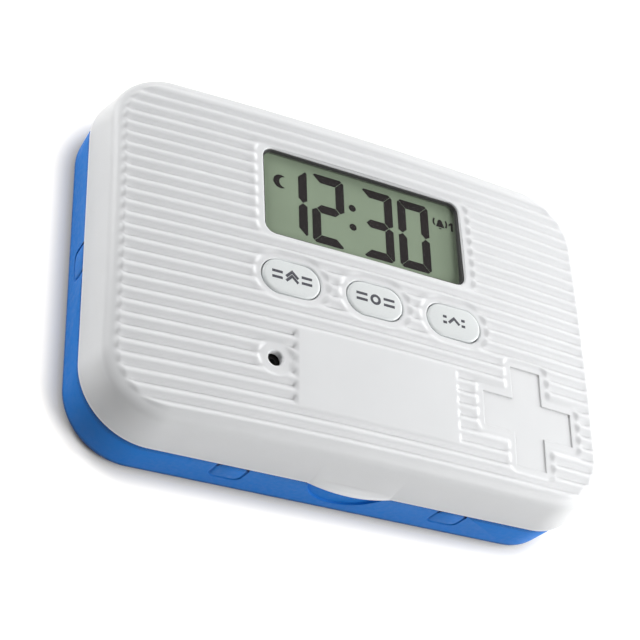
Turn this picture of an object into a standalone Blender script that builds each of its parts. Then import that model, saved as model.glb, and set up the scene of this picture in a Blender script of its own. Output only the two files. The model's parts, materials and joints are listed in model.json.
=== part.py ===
"""Electronic pill box: a translucent pill tray under a hinged lid that holds the alarm clock.

Metres, +Z up, +X along the display's text, +Y towards the hinge. The origin is the middle of
the underside, on the table.
"""
import math

import bmesh
import bpy
from mathutils import Matrix, Vector

# Whole object: the lid's rim, and how far the face falls from its middle to its ends and sides
LENGTH = 0.1033
WIDTH = 0.0731
CORNER_RADIUS = 0.0132
RIM_HEIGHT = 0.0104
CROWN_SAG_X = 0.0020
CROWN_SAG_Y = 0.0013

# Clearances between pieces, and how far a cutter runs past what it cuts
PARTING_GAP = 0.0003
FIT_GAP = 0.0003
STACK_GAP = 0.0001
OVERRUN = 0.0020

# Lid shell
LID_WALL = 0.0016
LID_ROOF = 0.0016
LID_LEAN = 0.0012
LID_FILLET = 0.0024
CEILING_FILLET = 0.0010

# Base shell
BASE_INSET = 0.0004
BASE_LEAN = 0.0004
BASE_ROUND = 0.0018
BASE_FLOOR = 0.0015
TONGUE_WALL = 0.0010
TONGUE_HEIGHT = 0.0026
BEAD_LENGTH = 0.0060
BEAD_RADIUS = 0.0005
BEAD_PROUD = 0.0001
BEAD_RISE = 0.0014

# Friction pads on the front wall of the base
PAD_X = 0.0222
PAD_WIDTH = 0.0056
PAD_HEIGHT = 0.0051
PAD_PROUD = 0.0003
PAD_CORNER = 0.0012

# Thumb lip on the lid and the scoop under it
LIP_HALF_WIDTH = 0.0085
LIP_REACH = 0.0010
LIP_TOP_REACH = 0.0002
LIP_THICKNESS = 0.0016
SCOOP_RADIUS = 0.0080
SCOOP_CENTRE_RISE = 0.0013
SCOOP_DEPTH = 0.0007

# Ribbed face: a field of raised ribs along X
RIB_PITCH = 0.0025
RIB_ROWS = 27
RIB_FIELD_Y = -0.0006
RIB_RADIUS = 0.0011
RIB_RISE = 0.0004
RIB_END_INSET = 0.0029
RIB_TAPER = 0.0005
RIB_POINT_STEP = 0.0130
RIB_SHORTEST = 0.0012

# Display window beside the cell, and how deep its clear lens lies under the top of the ribs
CELL_TO_WINDOW = 0.0366
WINDOW_Y = 0.0155
WINDOW_LENGTH = 0.0426
WINDOW_WIDTH = 0.0193
WINDOW_CORNER = 0.0022
WINDOW_BORDER = 0.0013
WINDOW_DEPTH = 0.0018

# Buttons
CELL_TO_BUTTON_ROW = 0.0359
BUTTON_ROW_Y = -0.0031
BUTTON_SPACING = 0.0170
BUTTON_LENGTH = 0.0115
BUTTON_WIDTH = 0.0068
BUTTON_GAP = 0.0002
BUTTON_PROUD = 0.0001
BUTTON_BORDER = 0.0010
BUTTON_BEVEL = 0.0003
BUTTON_TRAVEL = 0.00035
FLANGE_REACH = 0.0007
FLANGE_THICKNESS = 0.0005
STEM_RADIUS = 0.0014
STEM_LENGTH = 0.0001

# Sound hole
CELL_TO_SOUND = 0.05615
SOUND_Y = -0.0198
SOUND_RADIUS = 0.0014
SOUND_BORDER = 0.0015

# Bare label panel, level with the tops of the ribs, from one rib to another
CELL_TO_LABEL = 0.0189
LABEL_LENGTH = 0.0337
LABEL_BACK_ROW = 18
LABEL_FRONT_ROW = 24

# Recessed plain cross
CROSS_INSET = 0.01845
CROSS_Y = -0.0192
CROSS_REACH = 0.0101
CROSS_ARM_HALF = 0.0034
CROSS_DEPTH = 0.0003
CROSS_BORDER = 0.0011

# Hinge at the back
HINGE_CORNER_ROOM = 0.00265
HINGE_OUT = 0.0012
KNUCKLE_RADIUS = 0.0017
KNUCKLE_LENGTH = 0.0090
EAR_LENGTH = 0.0040
PIN_RADIUS = 0.0006

# Inner cover that closes the lid from below
COVER_GAP = 0.0004
COVER_THICKNESS = 0.0015
COVER_FLANGE = 0.0008

# Coin cell, its contacts and its cover
CELL_INSET = 0.01525
CELL_Y = 0.0
CELL_RADIUS = 0.0100
CELL_THICKNESS = 0.0032
CELL_BEVEL = 0.0004
CUP_WALL = 0.0009
CUP_HEIGHT = 0.0014
LUG_REACH = 0.0013
LUG_THICKNESS = 0.0006
LUG_HALF_ANGLE = math.radians(13.0)
LUG_PLAY_ANGLE = math.radians(2.0)
LOCK_ANGLE = math.radians(40.0)
COIN_SLOT_LENGTH = 0.0130
COIN_SLOT_WIDTH = 0.0018
COIN_SLOT_DEPTH = 0.0007
CONTACT_THICKNESS = 0.0003
CONTACT_WIDTH = 0.0040
CONTACT_SPACING = 0.0090
CONTACT_FOOT = 0.0027
SPRING_REACH = 0.0110

# Circuit board, its screws and what is soldered to it
BOARD_GAP = 0.0010
BOARD_THICKNESS = 0.0010
BOARD_ROOM = 0.0058
BOARD_CELL_ROOM = 0.0026
BOARD_TAB_LENGTH = 0.0072
BOARD_TAB_ROOM = 0.0040
BOARD_SCREW_INSET = 0.0040
BOARD_SCREW_LENGTH = 0.0032
BOARD_SCREW_Y = -0.0120
SWITCH_SIZE = 0.0060
SWITCH_CORNER = 0.0005
PLUNGER_RADIUS = 0.0016
PLUNGER_RISE = 0.0005
PLUNGER_SUNK = 0.0006
BUZZER_RADIUS = 0.0060
BUZZER_BEVEL = 0.0004
BUZZER_PORT_RADIUS = 0.0010
BUZZER_PORT_DEPTH = 0.0012
BLOB_Y = -0.0190
BLOB_RADIUS = 0.0045
BLOB_HEIGHT = 0.0010
CRYSTAL_TO_BLOB = 0.0085
CRYSTAL_RADIUS = 0.0010
CRYSTAL_LENGTH = 0.0060
CRYSTAL_BEVEL = 0.0003

# Display stack between the board and the window
ZEBRA_HEIGHT = 0.0010
ZEBRA_DEPTH = 0.0020
PANEL_OVERLAP = 0.0008
PANEL_CORNER = 0.0010
PANEL_THICKNESS = 0.0016
LENS_THICKNESS = 0.0007
GASKET_WALL = 0.00035
GASKET_SUNK = 0.0002
FRAME_WALL = 0.0011

# Screws and their bosses
BOSS_RADIUS = 0.0022
SHANK_RADIUS = 0.0008
HEAD_RADIUS = 0.0017
HEAD_HEIGHT = 0.0006
HEAD_RECESS = 0.0009
PILOT_GAP = 0.0003
SCREW_TIP_GAP = 0.0004
COVER_SCREW_INSET = 0.0081

# Pill compartments
DIVIDER_WALL = 0.0012
DIVIDER_SLOT = 0.0005
DIVIDER_FOOT_GAP = 0.0002

# Mesh fineness, in counts, and the angle over which shading stays smooth
CORNER_STEPS = 6
FILLET_STEPS = 4
ROUND_SIDES = 24
LARGE_SIDES = 36
SMALL_SIDES = 16
STADIUM_STEPS = 8
LIP_STEPS = 10
CROWN_CUTS_X = 8
CROWN_CUTS_Y = 6
SMOOTH_ANGLE = math.radians(32.0)

# Solids with so many shallow cuts that the exact Boolean leaves them open
FINE_CUT_PARTS = ("lid_shell",)

# Finishes as seen: base colour and roughness
WHITE_ABS = ((0.84, 0.84, 0.83), 0.42)
BLUE_CLEAR = ((0.028, 0.165, 0.53), 0.30)
CLEAR_ACRYLIC = ((0.90, 0.92, 0.91), 0.05)
LCD_GLASS = ((0.26, 0.33, 0.22), 0.20)
ZEBRA_RUBBER = ((0.60, 0.30, 0.33), 0.70)
FIBREGLASS = ((0.02, 0.20, 0.07), 0.45)
BLACK_PLASTIC = ((0.02, 0.02, 0.02), 0.50)
BLACK_EPOXY = ((0.01, 0.01, 0.01), 0.25)
STEEL = ((0.60, 0.60, 0.60), 0.30)
NICKEL = ((0.72, 0.70, 0.66), 0.25)

# Heights, from the table up: base, inner cover, board, display, face
BASE_TOP = RIM_HEIGHT - PARTING_GAP
TONGUE_TOP = BASE_TOP + TONGUE_HEIGHT
COVER_UNDERSIDE = TONGUE_TOP + COVER_GAP
COVER_TOP = COVER_UNDERSIDE + COVER_THICKNESS
CELL_UNDERSIDE = COVER_TOP + FIT_GAP
CELL_TOP = CELL_UNDERSIDE + CELL_THICKNESS
BOARD_UNDERSIDE = COVER_TOP + BOARD_GAP
BOARD_TOP = BOARD_UNDERSIDE + BOARD_THICKNESS
SOLDER_TOP = BOARD_TOP + STACK_GAP
PANEL_UNDERSIDE = SOLDER_TOP + ZEBRA_HEIGHT + STACK_GAP
PANEL_TOP = PANEL_UNDERSIDE + PANEL_THICKNESS
LENS_UNDERSIDE = PANEL_TOP + STACK_GAP
LENS_TOP = LENS_UNDERSIDE + LENS_THICKNESS
HEIGHT = LENS_TOP + WINDOW_DEPTH
FACE = HEIGHT - RIB_RISE
CEILING = HEIGHT - LID_ROOF

# Places in plan
TONGUE_INSET = LID_WALL + FIT_GAP
TRAY_INSET = TONGUE_INSET + TONGUE_WALL
HINGE_X = LENGTH / 2 - CORNER_RADIUS - HINGE_CORNER_ROOM - EAR_LENGTH - FIT_GAP - KNUCKLE_LENGTH / 2
HINGE_Y = WIDTH / 2 + HINGE_OUT
CELL_X = LENGTH / 2 - CELL_INSET
CUP_RADIUS = CELL_RADIUS + FIT_GAP + CUP_WALL
LUG_RADIUS = CUP_RADIUS + LUG_REACH
BOARD_RIGHT = CELL_X - CELL_RADIUS - BOARD_CELL_ROOM
BOARD_TAB_RIGHT = BOARD_RIGHT + BOARD_TAB_LENGTH
BOARD_TAB_FRONT = CELL_Y + CELL_RADIUS + BOARD_TAB_ROOM
BOARD_BACK = WIDTH / 2 - BOARD_ROOM
WINDOW_X = CELL_X - CELL_TO_WINDOW
BUTTON_ROW_X = CELL_X - CELL_TO_BUTTON_ROW
SOUND_X = CELL_X - CELL_TO_SOUND
LABEL_RIGHT = CELL_X - CELL_TO_LABEL
LABEL_LEFT = LABEL_RIGHT - LABEL_LENGTH
RIB_PLACES = [RIB_FIELD_Y + RIB_PITCH * ((RIB_ROWS - 1) / 2 - row) for row in range(RIB_ROWS)]
LABEL_BACK = RIB_PLACES[LABEL_BACK_ROW]
LABEL_FRONT = RIB_PLACES[LABEL_FRONT_ROW]
CROSS_X = LENGTH / 2 - CROSS_INSET
BUTTON_PLACES = {
    "hour": BUTTON_ROW_X - BUTTON_SPACING,
    "mode": BUTTON_ROW_X,
    "minute": BUTTON_ROW_X + BUTTON_SPACING,
}


def crown_drop(x, y):
    """How far the face has fallen from its top at the middle."""
    return CROWN_SAG_X * (2 * x / LENGTH) ** 2 + CROWN_SAG_Y * (2 * y / WIDTH) ** 2


def ceiling_at(x, y):
    return CEILING - crown_drop(x, y)


def ceiling_over(x, y, reach_x, reach_y):
    """The lowest ceiling over a piece that reaches so far about its place."""
    return ceiling_at(abs(x) + reach_x, abs(y) + reach_y)


# The button stack hangs from the ceiling: flange, stem, plunger, switch
FLANGE_ROW_REACH = BUTTON_SPACING + BUTTON_LENGTH / 2 + FLANGE_REACH
FLANGE_TOP = ceiling_over(BUTTON_ROW_X, BUTTON_ROW_Y, FLANGE_ROW_REACH,
                          BUTTON_WIDTH / 2 + FLANGE_REACH) - FIT_GAP
FLANGE_UNDERSIDE = FLANGE_TOP - FLANGE_THICKNESS
STEM_UNDERSIDE = FLANGE_UNDERSIDE - STEM_LENGTH
PLUNGER_TOP = STEM_UNDERSIDE - STACK_GAP
SWITCH_TOP = PLUNGER_TOP - PLUNGER_RISE
PLUNGER_UNDERSIDE = SWITCH_TOP - PLUNGER_SUNK


def clear_scene():
    for item in list(bpy.data.objects):
        bpy.data.objects.remove(item, do_unlink=True)


def new_collection(name):
    collection = bpy.data.collections.new(name)
    bpy.context.scene.collection.children.link(collection)
    return collection


clear_scene()
PARTS = new_collection("electronic_pill_box")
CUTTERS = new_collection("cutters")


# Materials

def new_material(name, finish, metallic=0.0):
    colour, roughness = finish
    material = bpy.data.materials.new(name)
    material.use_nodes = True
    shader = material.node_tree.nodes["Principled BSDF"]
    shader.inputs["Base Color"].default_value = (*colour, 1.0)
    shader.inputs["Roughness"].default_value = roughness
    shader.inputs["Metallic"].default_value = metallic
    return material


def metal(name, finish):
    return new_material(name, finish, 1.0)


# Objects, carriers and modifiers

def hang(item, carrier):
    """Makes an item move with its carrier and stay where it is."""
    if carrier:
        item.parent = carrier
        item.matrix_parent_inverse = carrier.matrix_world.inverted()


def pivot(name, place, carrier=None):
    """An empty on a joint's axis, which carries the pieces that move there."""
    item = bpy.data.objects.new(name, None)
    PARTS.objects.link(item)
    item.location = place
    hang(item, carrier)
    bpy.context.view_layer.update()
    return item


def mesh_object(name, bm):
    bmesh.ops.recalc_face_normals(bm, faces=bm.faces)
    mesh = bpy.data.meshes.new(name)
    bm.to_mesh(mesh)
    bm.free()
    return bpy.data.objects.new(name, mesh)


def part(item, material, carrier=None):
    PARTS.objects.link(item)
    hang(item, carrier)
    item.data.materials.append(material)
    item.data.shade_smooth()
    item.data.set_sharp_from_angle(angle=SMOOTH_ANGLE)
    return item


def tool(item):
    CUTTERS.objects.link(item)
    item.hide_render = True
    item.display_type = "WIRE"
    return item


def combine(target, other, operation):
    modifier = target.modifiers.new(other.name, "BOOLEAN")
    modifier.operation = operation
    modifier.solver = "MANIFOLD" if target.name in FINE_CUT_PARTS else "EXACT"
    modifier.object = tool(other)


def cut(target, *others):
    for other in others:
        combine(target, other, "DIFFERENCE")


def join(target, *others):
    for other in others:
        combine(target, other, "UNION")


def bevel_edges(item, width, segments=2):
    modifier = item.modifiers.new("edge", "BEVEL")
    modifier.width = width
    modifier.segments = segments
    modifier.limit_method = "ANGLE"


# Basic shapes

def block(name, low, high):
    low = Vector(low)
    high = Vector(high)
    bm = bmesh.new()
    bmesh.ops.create_cube(bm, size=1.0)
    bmesh.ops.scale(bm, vec=high - low, verts=bm.verts)
    bmesh.ops.translate(bm, vec=(low + high) / 2, verts=bm.verts)
    return mesh_object(name, bm)


def rod(name, start, end, radius, sides=ROUND_SIDES):
    start = Vector(start)
    end = Vector(end)
    axis = end - start
    bm = bmesh.new()
    bmesh.ops.create_cone(bm, cap_ends=True, segments=sides, radius1=radius, radius2=radius,
                          depth=axis.length)
    turn = Vector((0, 0, 1)).rotation_difference(axis).to_matrix().to_4x4()
    bmesh.ops.transform(bm, matrix=Matrix.Translation((start + end) / 2) @ turn, verts=bm.verts)
    return mesh_object(name, bm)


def disc(name, x, y, low, high, radius, sides=ROUND_SIDES):
    return rod(name, (x, y, low), (x, y, high), radius, sides)


def curve_to_mesh(name, curve):
    carrier = bpy.data.objects.new(name, curve)
    CUTTERS.objects.link(carrier)
    graph = bpy.context.evaluated_depsgraph_get()
    mesh = bpy.data.meshes.new_from_object(carrier.evaluated_get(graph))
    bpy.data.objects.remove(carrier, do_unlink=True)
    bm = bmesh.new()
    bm.from_mesh(mesh)
    bpy.data.meshes.remove(mesh)
    bmesh.ops.remove_doubles(bm, verts=bm.verts, dist=STACK_GAP / ROUND_SIDES)
    return bm


def flat_curve(name, outlines, thickness):
    curve = bpy.data.curves.new(name, "CURVE")
    curve.dimensions = "2D"
    curve.fill_mode = "BOTH"
    curve.extrude = thickness / 2
    for outline in outlines:
        spline = curve.splines.new("POLY")
        spline.points.add(len(outline) - 1)
        spline.use_cyclic_u = True
        for point, (x, y) in zip(spline.points, outline):
            point.co = (x, y, 0, 1)
    return curve


def plate(name, outlines, low, high):
    bm = curve_to_mesh(name, flat_curve(name, outlines, high - low))
    bmesh.ops.translate(bm, vec=(0, 0, (low + high) / 2), verts=bm.verts)
    return mesh_object(name, bm)


def standing_plate(name, outline, front, back):
    """A flat outline given in X and Z, as thick as front to back along Y."""
    bm = curve_to_mesh(name, flat_curve(name, [outline], back - front))
    upright = Matrix.Rotation(math.radians(90.0), 4, "X")
    place = Matrix.Translation((0, (front + back) / 2, 0))
    bmesh.ops.transform(bm, matrix=place @ upright, verts=bm.verts)
    return mesh_object(name, bm)


def turned(name, profile, x, y, sides=ROUND_SIDES):
    """A solid turned about a vertical axis; the profile holds radius and height, top first."""
    mesh = bpy.data.meshes.new(name)
    edges = [(i, i + 1) for i in range(len(profile) - 1)]
    mesh.from_pydata([(radius, 0, z) for radius, z in profile], edges, [])
    item = bpy.data.objects.new(name, mesh)
    item.location = (x, y, 0)
    modifier = item.modifiers.new("turn", "SCREW")
    modifier.steps = sides
    modifier.render_steps = sides
    modifier.use_merge_vertices = True
    modifier.merge_threshold = STACK_GAP / ROUND_SIDES
    return item


def loft(name, rings):
    """A closed solid of flat triangles through rings of equally many points, lowest ring first."""
    bm = bmesh.new()
    loops = [[bm.verts.new(point) for point in ring] for ring in rings]
    for lower, upper in zip(loops, loops[1:]):
        count = len(lower)
        for i in range(count):
            j = (i + 1) % count
            bm.faces.new((lower[i], lower[j], upper[j], upper[i]))
    bm.faces.new(list(reversed(loops[0])))
    bm.faces.new(loops[-1])
    bmesh.ops.triangulate(bm, faces=bm.faces[:])
    return mesh_object(name, bm)


# Outlines

def arc(centre_x, centre_y, radius, start, end, steps):
    angles = [start + (end - start) * i / steps for i in range(steps + 1)]
    return [(centre_x + radius * math.cos(a), centre_y + radius * math.sin(a)) for a in angles]


def rounded_rectangle(half_x, half_y, radius, centre=(0, 0), steps=CORNER_STEPS):
    quarter = math.pi / 2
    points = []
    for turn, (side_x, side_y) in enumerate([(1, 1), (-1, 1), (-1, -1), (1, -1)]):
        x = centre[0] + side_x * (half_x - radius)
        y = centre[1] + side_y * (half_y - radius)
        points += arc(x, y, radius, turn * quarter, (turn + 1) * quarter, steps)
    return points


def stadium(centre_x, centre_y, length, width):
    radius = width / 2
    reach = length / 2 - radius
    right = arc(centre_x + reach, centre_y, radius, -math.pi / 2, math.pi / 2, STADIUM_STEPS)
    left = arc(centre_x - reach, centre_y, radius, math.pi / 2, 3 * math.pi / 2, STADIUM_STEPS)
    return right + left


def cross_outline():
    quarter = [(CROSS_REACH, -CROSS_ARM_HALF), (CROSS_REACH, CROSS_ARM_HALF),
               (CROSS_ARM_HALF, CROSS_ARM_HALF)]
    points = []
    for turn in range(4):
        points += [(CROSS_X + x, CROSS_Y + y) for x, y in quarter]
        quarter = [(-y, x) for x, y in quarter]
    return points


def around_window(margin, corner):
    middle = (WINDOW_X, WINDOW_Y)
    return rounded_rectangle(WINDOW_LENGTH / 2 + margin, WINDOW_WIDTH / 2 + margin, corner, middle)


def window_outline(inset):
    return around_window(-inset, WINDOW_CORNER - inset)


def body_ring(inset, z):
    outline = rounded_rectangle(LENGTH / 2 - inset, WIDTH / 2 - inset, CORNER_RADIUS - inset)
    return [(x, y, z) for x, y in outline]


# The crowned body of the lid

def follow_crown(item, low, high):
    """Bends a solid's top to the crown, fully at the height high and not at all at low."""
    bm = bmesh.new()
    bm.from_mesh(item.data)
    for cuts, size, normal in ((CROWN_CUTS_X, LENGTH, (1, 0, 0)), (CROWN_CUTS_Y, WIDTH, (0, 1, 0))):
        for i in range(1, cuts):
            place = Vector(normal) * (size * i / cuts - size / 2)
            geometry = bm.verts[:] + bm.edges[:] + bm.faces[:]
            bmesh.ops.bisect_plane(bm, geom=geometry, plane_co=place, plane_no=normal)
    for vert in bm.verts:
        share = min(max((vert.co.z - low) / (high - low), 0.0), 1.0)
        vert.co.z -= share * crown_drop(vert.co.x, vert.co.y)
    bmesh.ops.triangulate(bm, faces=bm.faces[:])
    bm.to_mesh(item.data)
    bm.free()
    return item


def fillet_rings(inset, top, radius):
    """Rings that round a wall, leaning inwards by inset, over into a flat top."""
    rings = []
    for i in range(FILLET_STEPS + 1):
        angle = math.pi / 2 * i / FILLET_STEPS
        rings.append(body_ring(inset + radius * (1 - math.cos(angle)), top - radius * (1 - math.sin(angle))))
    return rings


def lid_solid():
    rings = [body_ring(0, RIM_HEIGHT)] + fillet_rings(LID_LEAN, FACE, LID_FILLET)
    return follow_crown(loft("lid_shell", rings), RIM_HEIGHT, FACE)


def lid_cavity():
    rings = [body_ring(LID_WALL, RIM_HEIGHT - OVERRUN), body_ring(LID_WALL, RIM_HEIGHT)]
    rings += fillet_rings(LID_WALL + LID_LEAN, CEILING, CEILING_FILLET)
    return follow_crown(loft("lid_cavity", rings), RIM_HEIGHT, CEILING)


def lid_inner_inset(z):
    """How far the lid's inner wall, which leans inwards, stands inside its rim at a height."""
    crown_share = 1 - CROWN_SAG_X / (CEILING - RIM_HEIGHT)
    lean_height = (CEILING - CEILING_FILLET - RIM_HEIGHT) * crown_share
    return LID_WALL + LID_LEAN * (z - RIM_HEIGHT) / lean_height


# The ribbed face

def field_half_length(y):
    """Half the length of the rib at y, inside the rounded outline of the rib field."""
    half_x = LENGTH / 2 - RIB_END_INSET
    half_y = WIDTH / 2 - RIB_END_INSET
    radius = CORNER_RADIUS - RIB_END_INSET
    into_corner = max(abs(y) - (half_y - radius), 0)
    return half_x - radius + math.sqrt(max(radius ** 2 - into_corner ** 2, 0))


def span(centre, reach):
    return centre - reach, centre + reach


def chord(radius, offset):
    """Half the width of a circle so far from its middle, and nothing outside it."""
    return math.sqrt(max(radius ** 2 - offset ** 2, 0))


def smooth_spans(y):
    """The stretches of the row at y that carry no rib, as pairs of X."""
    spans = []
    if abs(y - WINDOW_Y) < (WINDOW_WIDTH + WINDOW_BORDER) / 2:
        spans.append(span(WINDOW_X, WINDOW_LENGTH / 2 + WINDOW_BORDER))
    round_end = chord(BUTTON_WIDTH / 2 + BUTTON_GAP + BUTTON_BORDER, y - BUTTON_ROW_Y)
    if round_end:
        spans += [span(x, (BUTTON_LENGTH - BUTTON_WIDTH) / 2 + round_end) for x in BUTTON_PLACES.values()]
    patch = chord(SOUND_RADIUS + SOUND_BORDER, y - SOUND_Y)
    if patch:
        spans.append(span(SOUND_X, patch))
    if LABEL_FRONT < y < LABEL_BACK:
        spans.append(span((LABEL_LEFT + LABEL_RIGHT) / 2, LABEL_LENGTH / 2 - RIB_TAPER))
    for along, across in ((CROSS_REACH, CROSS_ARM_HALF), (CROSS_ARM_HALF, CROSS_REACH)):
        if abs(y - CROSS_Y) < across:
            spans.append(span(CROSS_X, along + CROSS_BORDER))
    return sorted(spans)


def rib_runs():
    """Every rib of the face, as its start, its end and its row."""
    runs = []
    for y in RIB_PLACES:
        end = field_half_length(y)
        start = -end
        for smooth_start, smooth_end in smooth_spans(y):
            runs.append((start, smooth_start, y))
            start = max(start, smooth_end)
        runs.append((start, end, y))
    return [run for run in runs if run[1] - run[0] > RIB_SHORTEST]


def ribs():
    """Round rods half sunk in the face, which thin out at both ends of each rib."""
    curve = bpy.data.curves.new("ribs", "CURVE")
    curve.dimensions = "3D"
    curve.bevel_depth = RIB_RADIUS
    curve.bevel_resolution = 2
    curve.use_fill_caps = True
    sunk = RIB_RADIUS - RIB_RISE
    end_share = (sunk + STACK_GAP) / RIB_RADIUS
    for start, end, y in rib_runs():
        inner_start = start + RIB_TAPER
        inner_length = end - RIB_TAPER - inner_start
        steps = max(1, math.ceil(inner_length / RIB_POINT_STEP))
        places = [(inner_start + inner_length * i / steps, 1.0) for i in range(steps + 1)]
        places = [(start, end_share)] + places + [(end, end_share)]
        spline = curve.splines.new("POLY")
        spline.points.add(len(places) - 1)
        for point, (x, thickness_share) in zip(spline.points, places):
            point.co = (x, y, FACE - sunk - crown_drop(x, y), 1)
            point.radius = thickness_share
    return mesh_object("ribs", curve_to_mesh("ribs", curve))


def label_panel():
    """The bare panel, which stands as high as the ribs beside it."""
    outline = [(LABEL_LEFT, LABEL_FRONT), (LABEL_RIGHT, LABEL_FRONT), (LABEL_RIGHT, LABEL_BACK),
               (LABEL_LEFT, LABEL_BACK)]
    return follow_crown(plate("label_panel", [outline], FACE - RIB_RISE, HEIGHT), 0, FACE - RIB_RISE)


# Lid shell

def lip_ring(wall_y, reach, z):
    """The thumb lip's outline at a height: an arc that stands so far out of the wall."""
    sagitta = reach + STACK_GAP
    radius = (LIP_HALF_WIDTH ** 2 + sagitta ** 2) / (2 * sagitta)
    half_angle = math.asin(LIP_HALF_WIDTH / radius)
    front = -math.pi / 2
    outline = arc(0, wall_y - reach + radius, radius, front - half_angle, front + half_angle, LIP_STEPS)
    back = wall_y + LID_WALL / 2
    return [(x, y, z) for x, y in outline + [(LIP_HALF_WIDTH, back), (-LIP_HALF_WIDTH, back)]]


def lip():
    wall = -WIDTH / 2
    lean = lid_inner_inset(RIM_HEIGHT + LIP_THICKNESS) - LID_WALL
    rings = [lip_ring(wall, LIP_REACH, RIM_HEIGHT),
             lip_ring(wall + lean, LIP_TOP_REACH, RIM_HEIGHT + LIP_THICKNESS)]
    return loft("thumb_lip", rings)


def hinge_places():
    return (("left", -HINGE_X), ("right", HINGE_X))


def ear_spans(x):
    """The two stretches of X that the base's ears fill at a hinge."""
    inner = KNUCKLE_LENGTH / 2 + FIT_GAP
    return ((x - inner - EAR_LENGTH, x - inner), (x + inner, x + inner + EAR_LENGTH))


def barrel(name, start, end, radius):
    return rod(name, (start, HINGE_Y, RIM_HEIGHT), (end, HINGE_Y, RIM_HEIGHT), radius)


def lid_knuckle(side, x):
    start, end = span(x, KNUCKLE_LENGTH / 2)
    web = block("lid_web_" + side, (start, WIDTH / 2 - LID_WALL / 2, RIM_HEIGHT),
                (end, HINGE_Y, RIM_HEIGHT + KNUCKLE_RADIUS))
    return web, barrel("lid_knuckle_" + side, start, end, KNUCKLE_RADIUS)


def boss(name, x, y, low):
    return disc(name, x, y, low, ceiling_at(x, y) + LID_ROOF / 2, BOSS_RADIUS, SMALL_SIDES)


def cover_screw_places():
    x = LENGTH / 2 - COVER_SCREW_INSET
    y = WIDTH / 2 - COVER_SCREW_INSET
    return (("front_left", -x, -y), ("front_right", x, -y), ("back_left", -x, y), ("back_right", x, y))


def board_screw_places():
    """Two screws in line with the cover's at the left, and one in each right corner of the board."""
    left = COVER_SCREW_INSET - LENGTH / 2
    back = BOARD_BACK - BOARD_SCREW_INSET
    return (("front_left", left, BOARD_SCREW_Y), ("front_right", BOARD_RIGHT - BOARD_SCREW_INSET, -back),
            ("back_left", left, WINDOW_Y), ("back_right", BOARD_TAB_RIGHT - BOARD_SCREW_INSET, back))


def cover_screw_tip(x, y):
    return ceiling_at(x, y) - SCREW_TIP_GAP


def pilot(name, x, y, tip):
    """A screw's hole in its boss, from below the inner cover to just past the screw's tip."""
    return disc(name, x, y, COVER_UNDERSIDE, tip + PILOT_GAP, SHANK_RADIUS + PILOT_GAP, SMALL_SIDES)


def add_bosses(lid):
    for name, x, y in cover_screw_places():
        join(lid, boss("cover_boss_" + name, x, y, COVER_TOP + STACK_GAP))
        cut(lid, pilot("cover_pilot_" + name, x, y, cover_screw_tip(x, y)))
    for name, x, y in board_screw_places():
        join(lid, boss("board_boss_" + name, x, y, SOLDER_TOP))
        cut(lid, pilot("board_pilot_" + name, x, y, BOARD_UNDERSIDE + BOARD_SCREW_LENGTH))


def add_knuckles(lid):
    for side, x in hinge_places():
        for ear, (start, end) in zip(("a", "b"), ear_spans(x)):
            cut(lid, barrel("ear_clearance_" + side + "_" + ear, start - FIT_GAP, end + FIT_GAP,
                            KNUCKLE_RADIUS + FIT_GAP))
        join(lid, *lid_knuckle(side, x))
        start, end = span(x, KNUCKLE_LENGTH)
        cut(lid, barrel("lid_bore_" + side, start, end, PIN_RADIUS + FIT_GAP))


def cut_openings(lid):
    above = HEIGHT + OVERRUN
    inside = BOARD_TOP
    cut(lid, plate("window", [window_outline(0)], inside, above))
    cut(lid, plate("panel_pocket", [around_window(PANEL_OVERLAP + STACK_GAP, PANEL_CORNER)], inside,
                   PANEL_TOP + STACK_GAP))
    for name, x in BUTTON_PLACES.items():
        opening = stadium(x, BUTTON_ROW_Y, BUTTON_LENGTH + 2 * BUTTON_GAP, BUTTON_WIDTH + 2 * BUTTON_GAP)
        cut(lid, plate("opening_" + name, [opening], inside, above))
    cut(lid, disc("sound_hole", SOUND_X, SOUND_Y, inside, above, SOUND_RADIUS))
    recess_floor = FACE - CROSS_DEPTH
    recess = plate("cross_recess", [cross_outline()], recess_floor, above)
    cut(lid, follow_crown(recess, 0, recess_floor))


def build_lid_shell(carrier):
    lid = part(lid_solid(), new_material("lid_plastic", WHITE_ABS), carrier)
    join(lid, ribs(), label_panel())
    cut(lid, lid_cavity())
    add_bosses(lid)
    join(lid, lip())
    add_knuckles(lid)
    cut_openings(lid)


# Base

def base_solid():
    rings = []
    inset = BASE_INSET + BASE_LEAN
    for i in range(FILLET_STEPS + 1):
        angle = math.pi / 2 * i / FILLET_STEPS
        further_in = BASE_ROUND * (1 - math.sin(angle))
        rings.append(body_ring(inset + further_in, BASE_ROUND * (1 - math.cos(angle))))
    rings += [body_ring(BASE_INSET, BASE_TOP), body_ring(TONGUE_INSET, BASE_TOP)]
    rings.append(body_ring(lid_inner_inset(TONGUE_TOP) + FIT_GAP, TONGUE_TOP))
    return loft("base_shell", rings)


def tray_hollow():
    above = TONGUE_TOP + OVERRUN
    return loft("tray_hollow", [body_ring(TRAY_INSET, BASE_FLOOR), body_ring(TRAY_INSET, above)])


def friction_pad(side, x):
    outline = rounded_rectangle(PAD_WIDTH / 2, PAD_HEIGHT / 2, PAD_CORNER, (x, BASE_TOP - PAD_HEIGHT / 2),
                                FILLET_STEPS)
    front = BASE_INSET - PAD_PROUD - WIDTH / 2
    return standing_plate("friction_pad_" + side, outline, front, front + PAD_PROUD + LID_WALL / 2)


def snap_bead(side, x):
    start, end = span(x, BEAD_LENGTH / 2)
    y = TONGUE_INSET + BEAD_RADIUS - BEAD_PROUD - WIDTH / 2
    z = BASE_TOP + BEAD_RISE
    return rod("snap_bead_" + side, (start, y, z), (end, y, z), BEAD_RADIUS, SMALL_SIDES)


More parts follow.
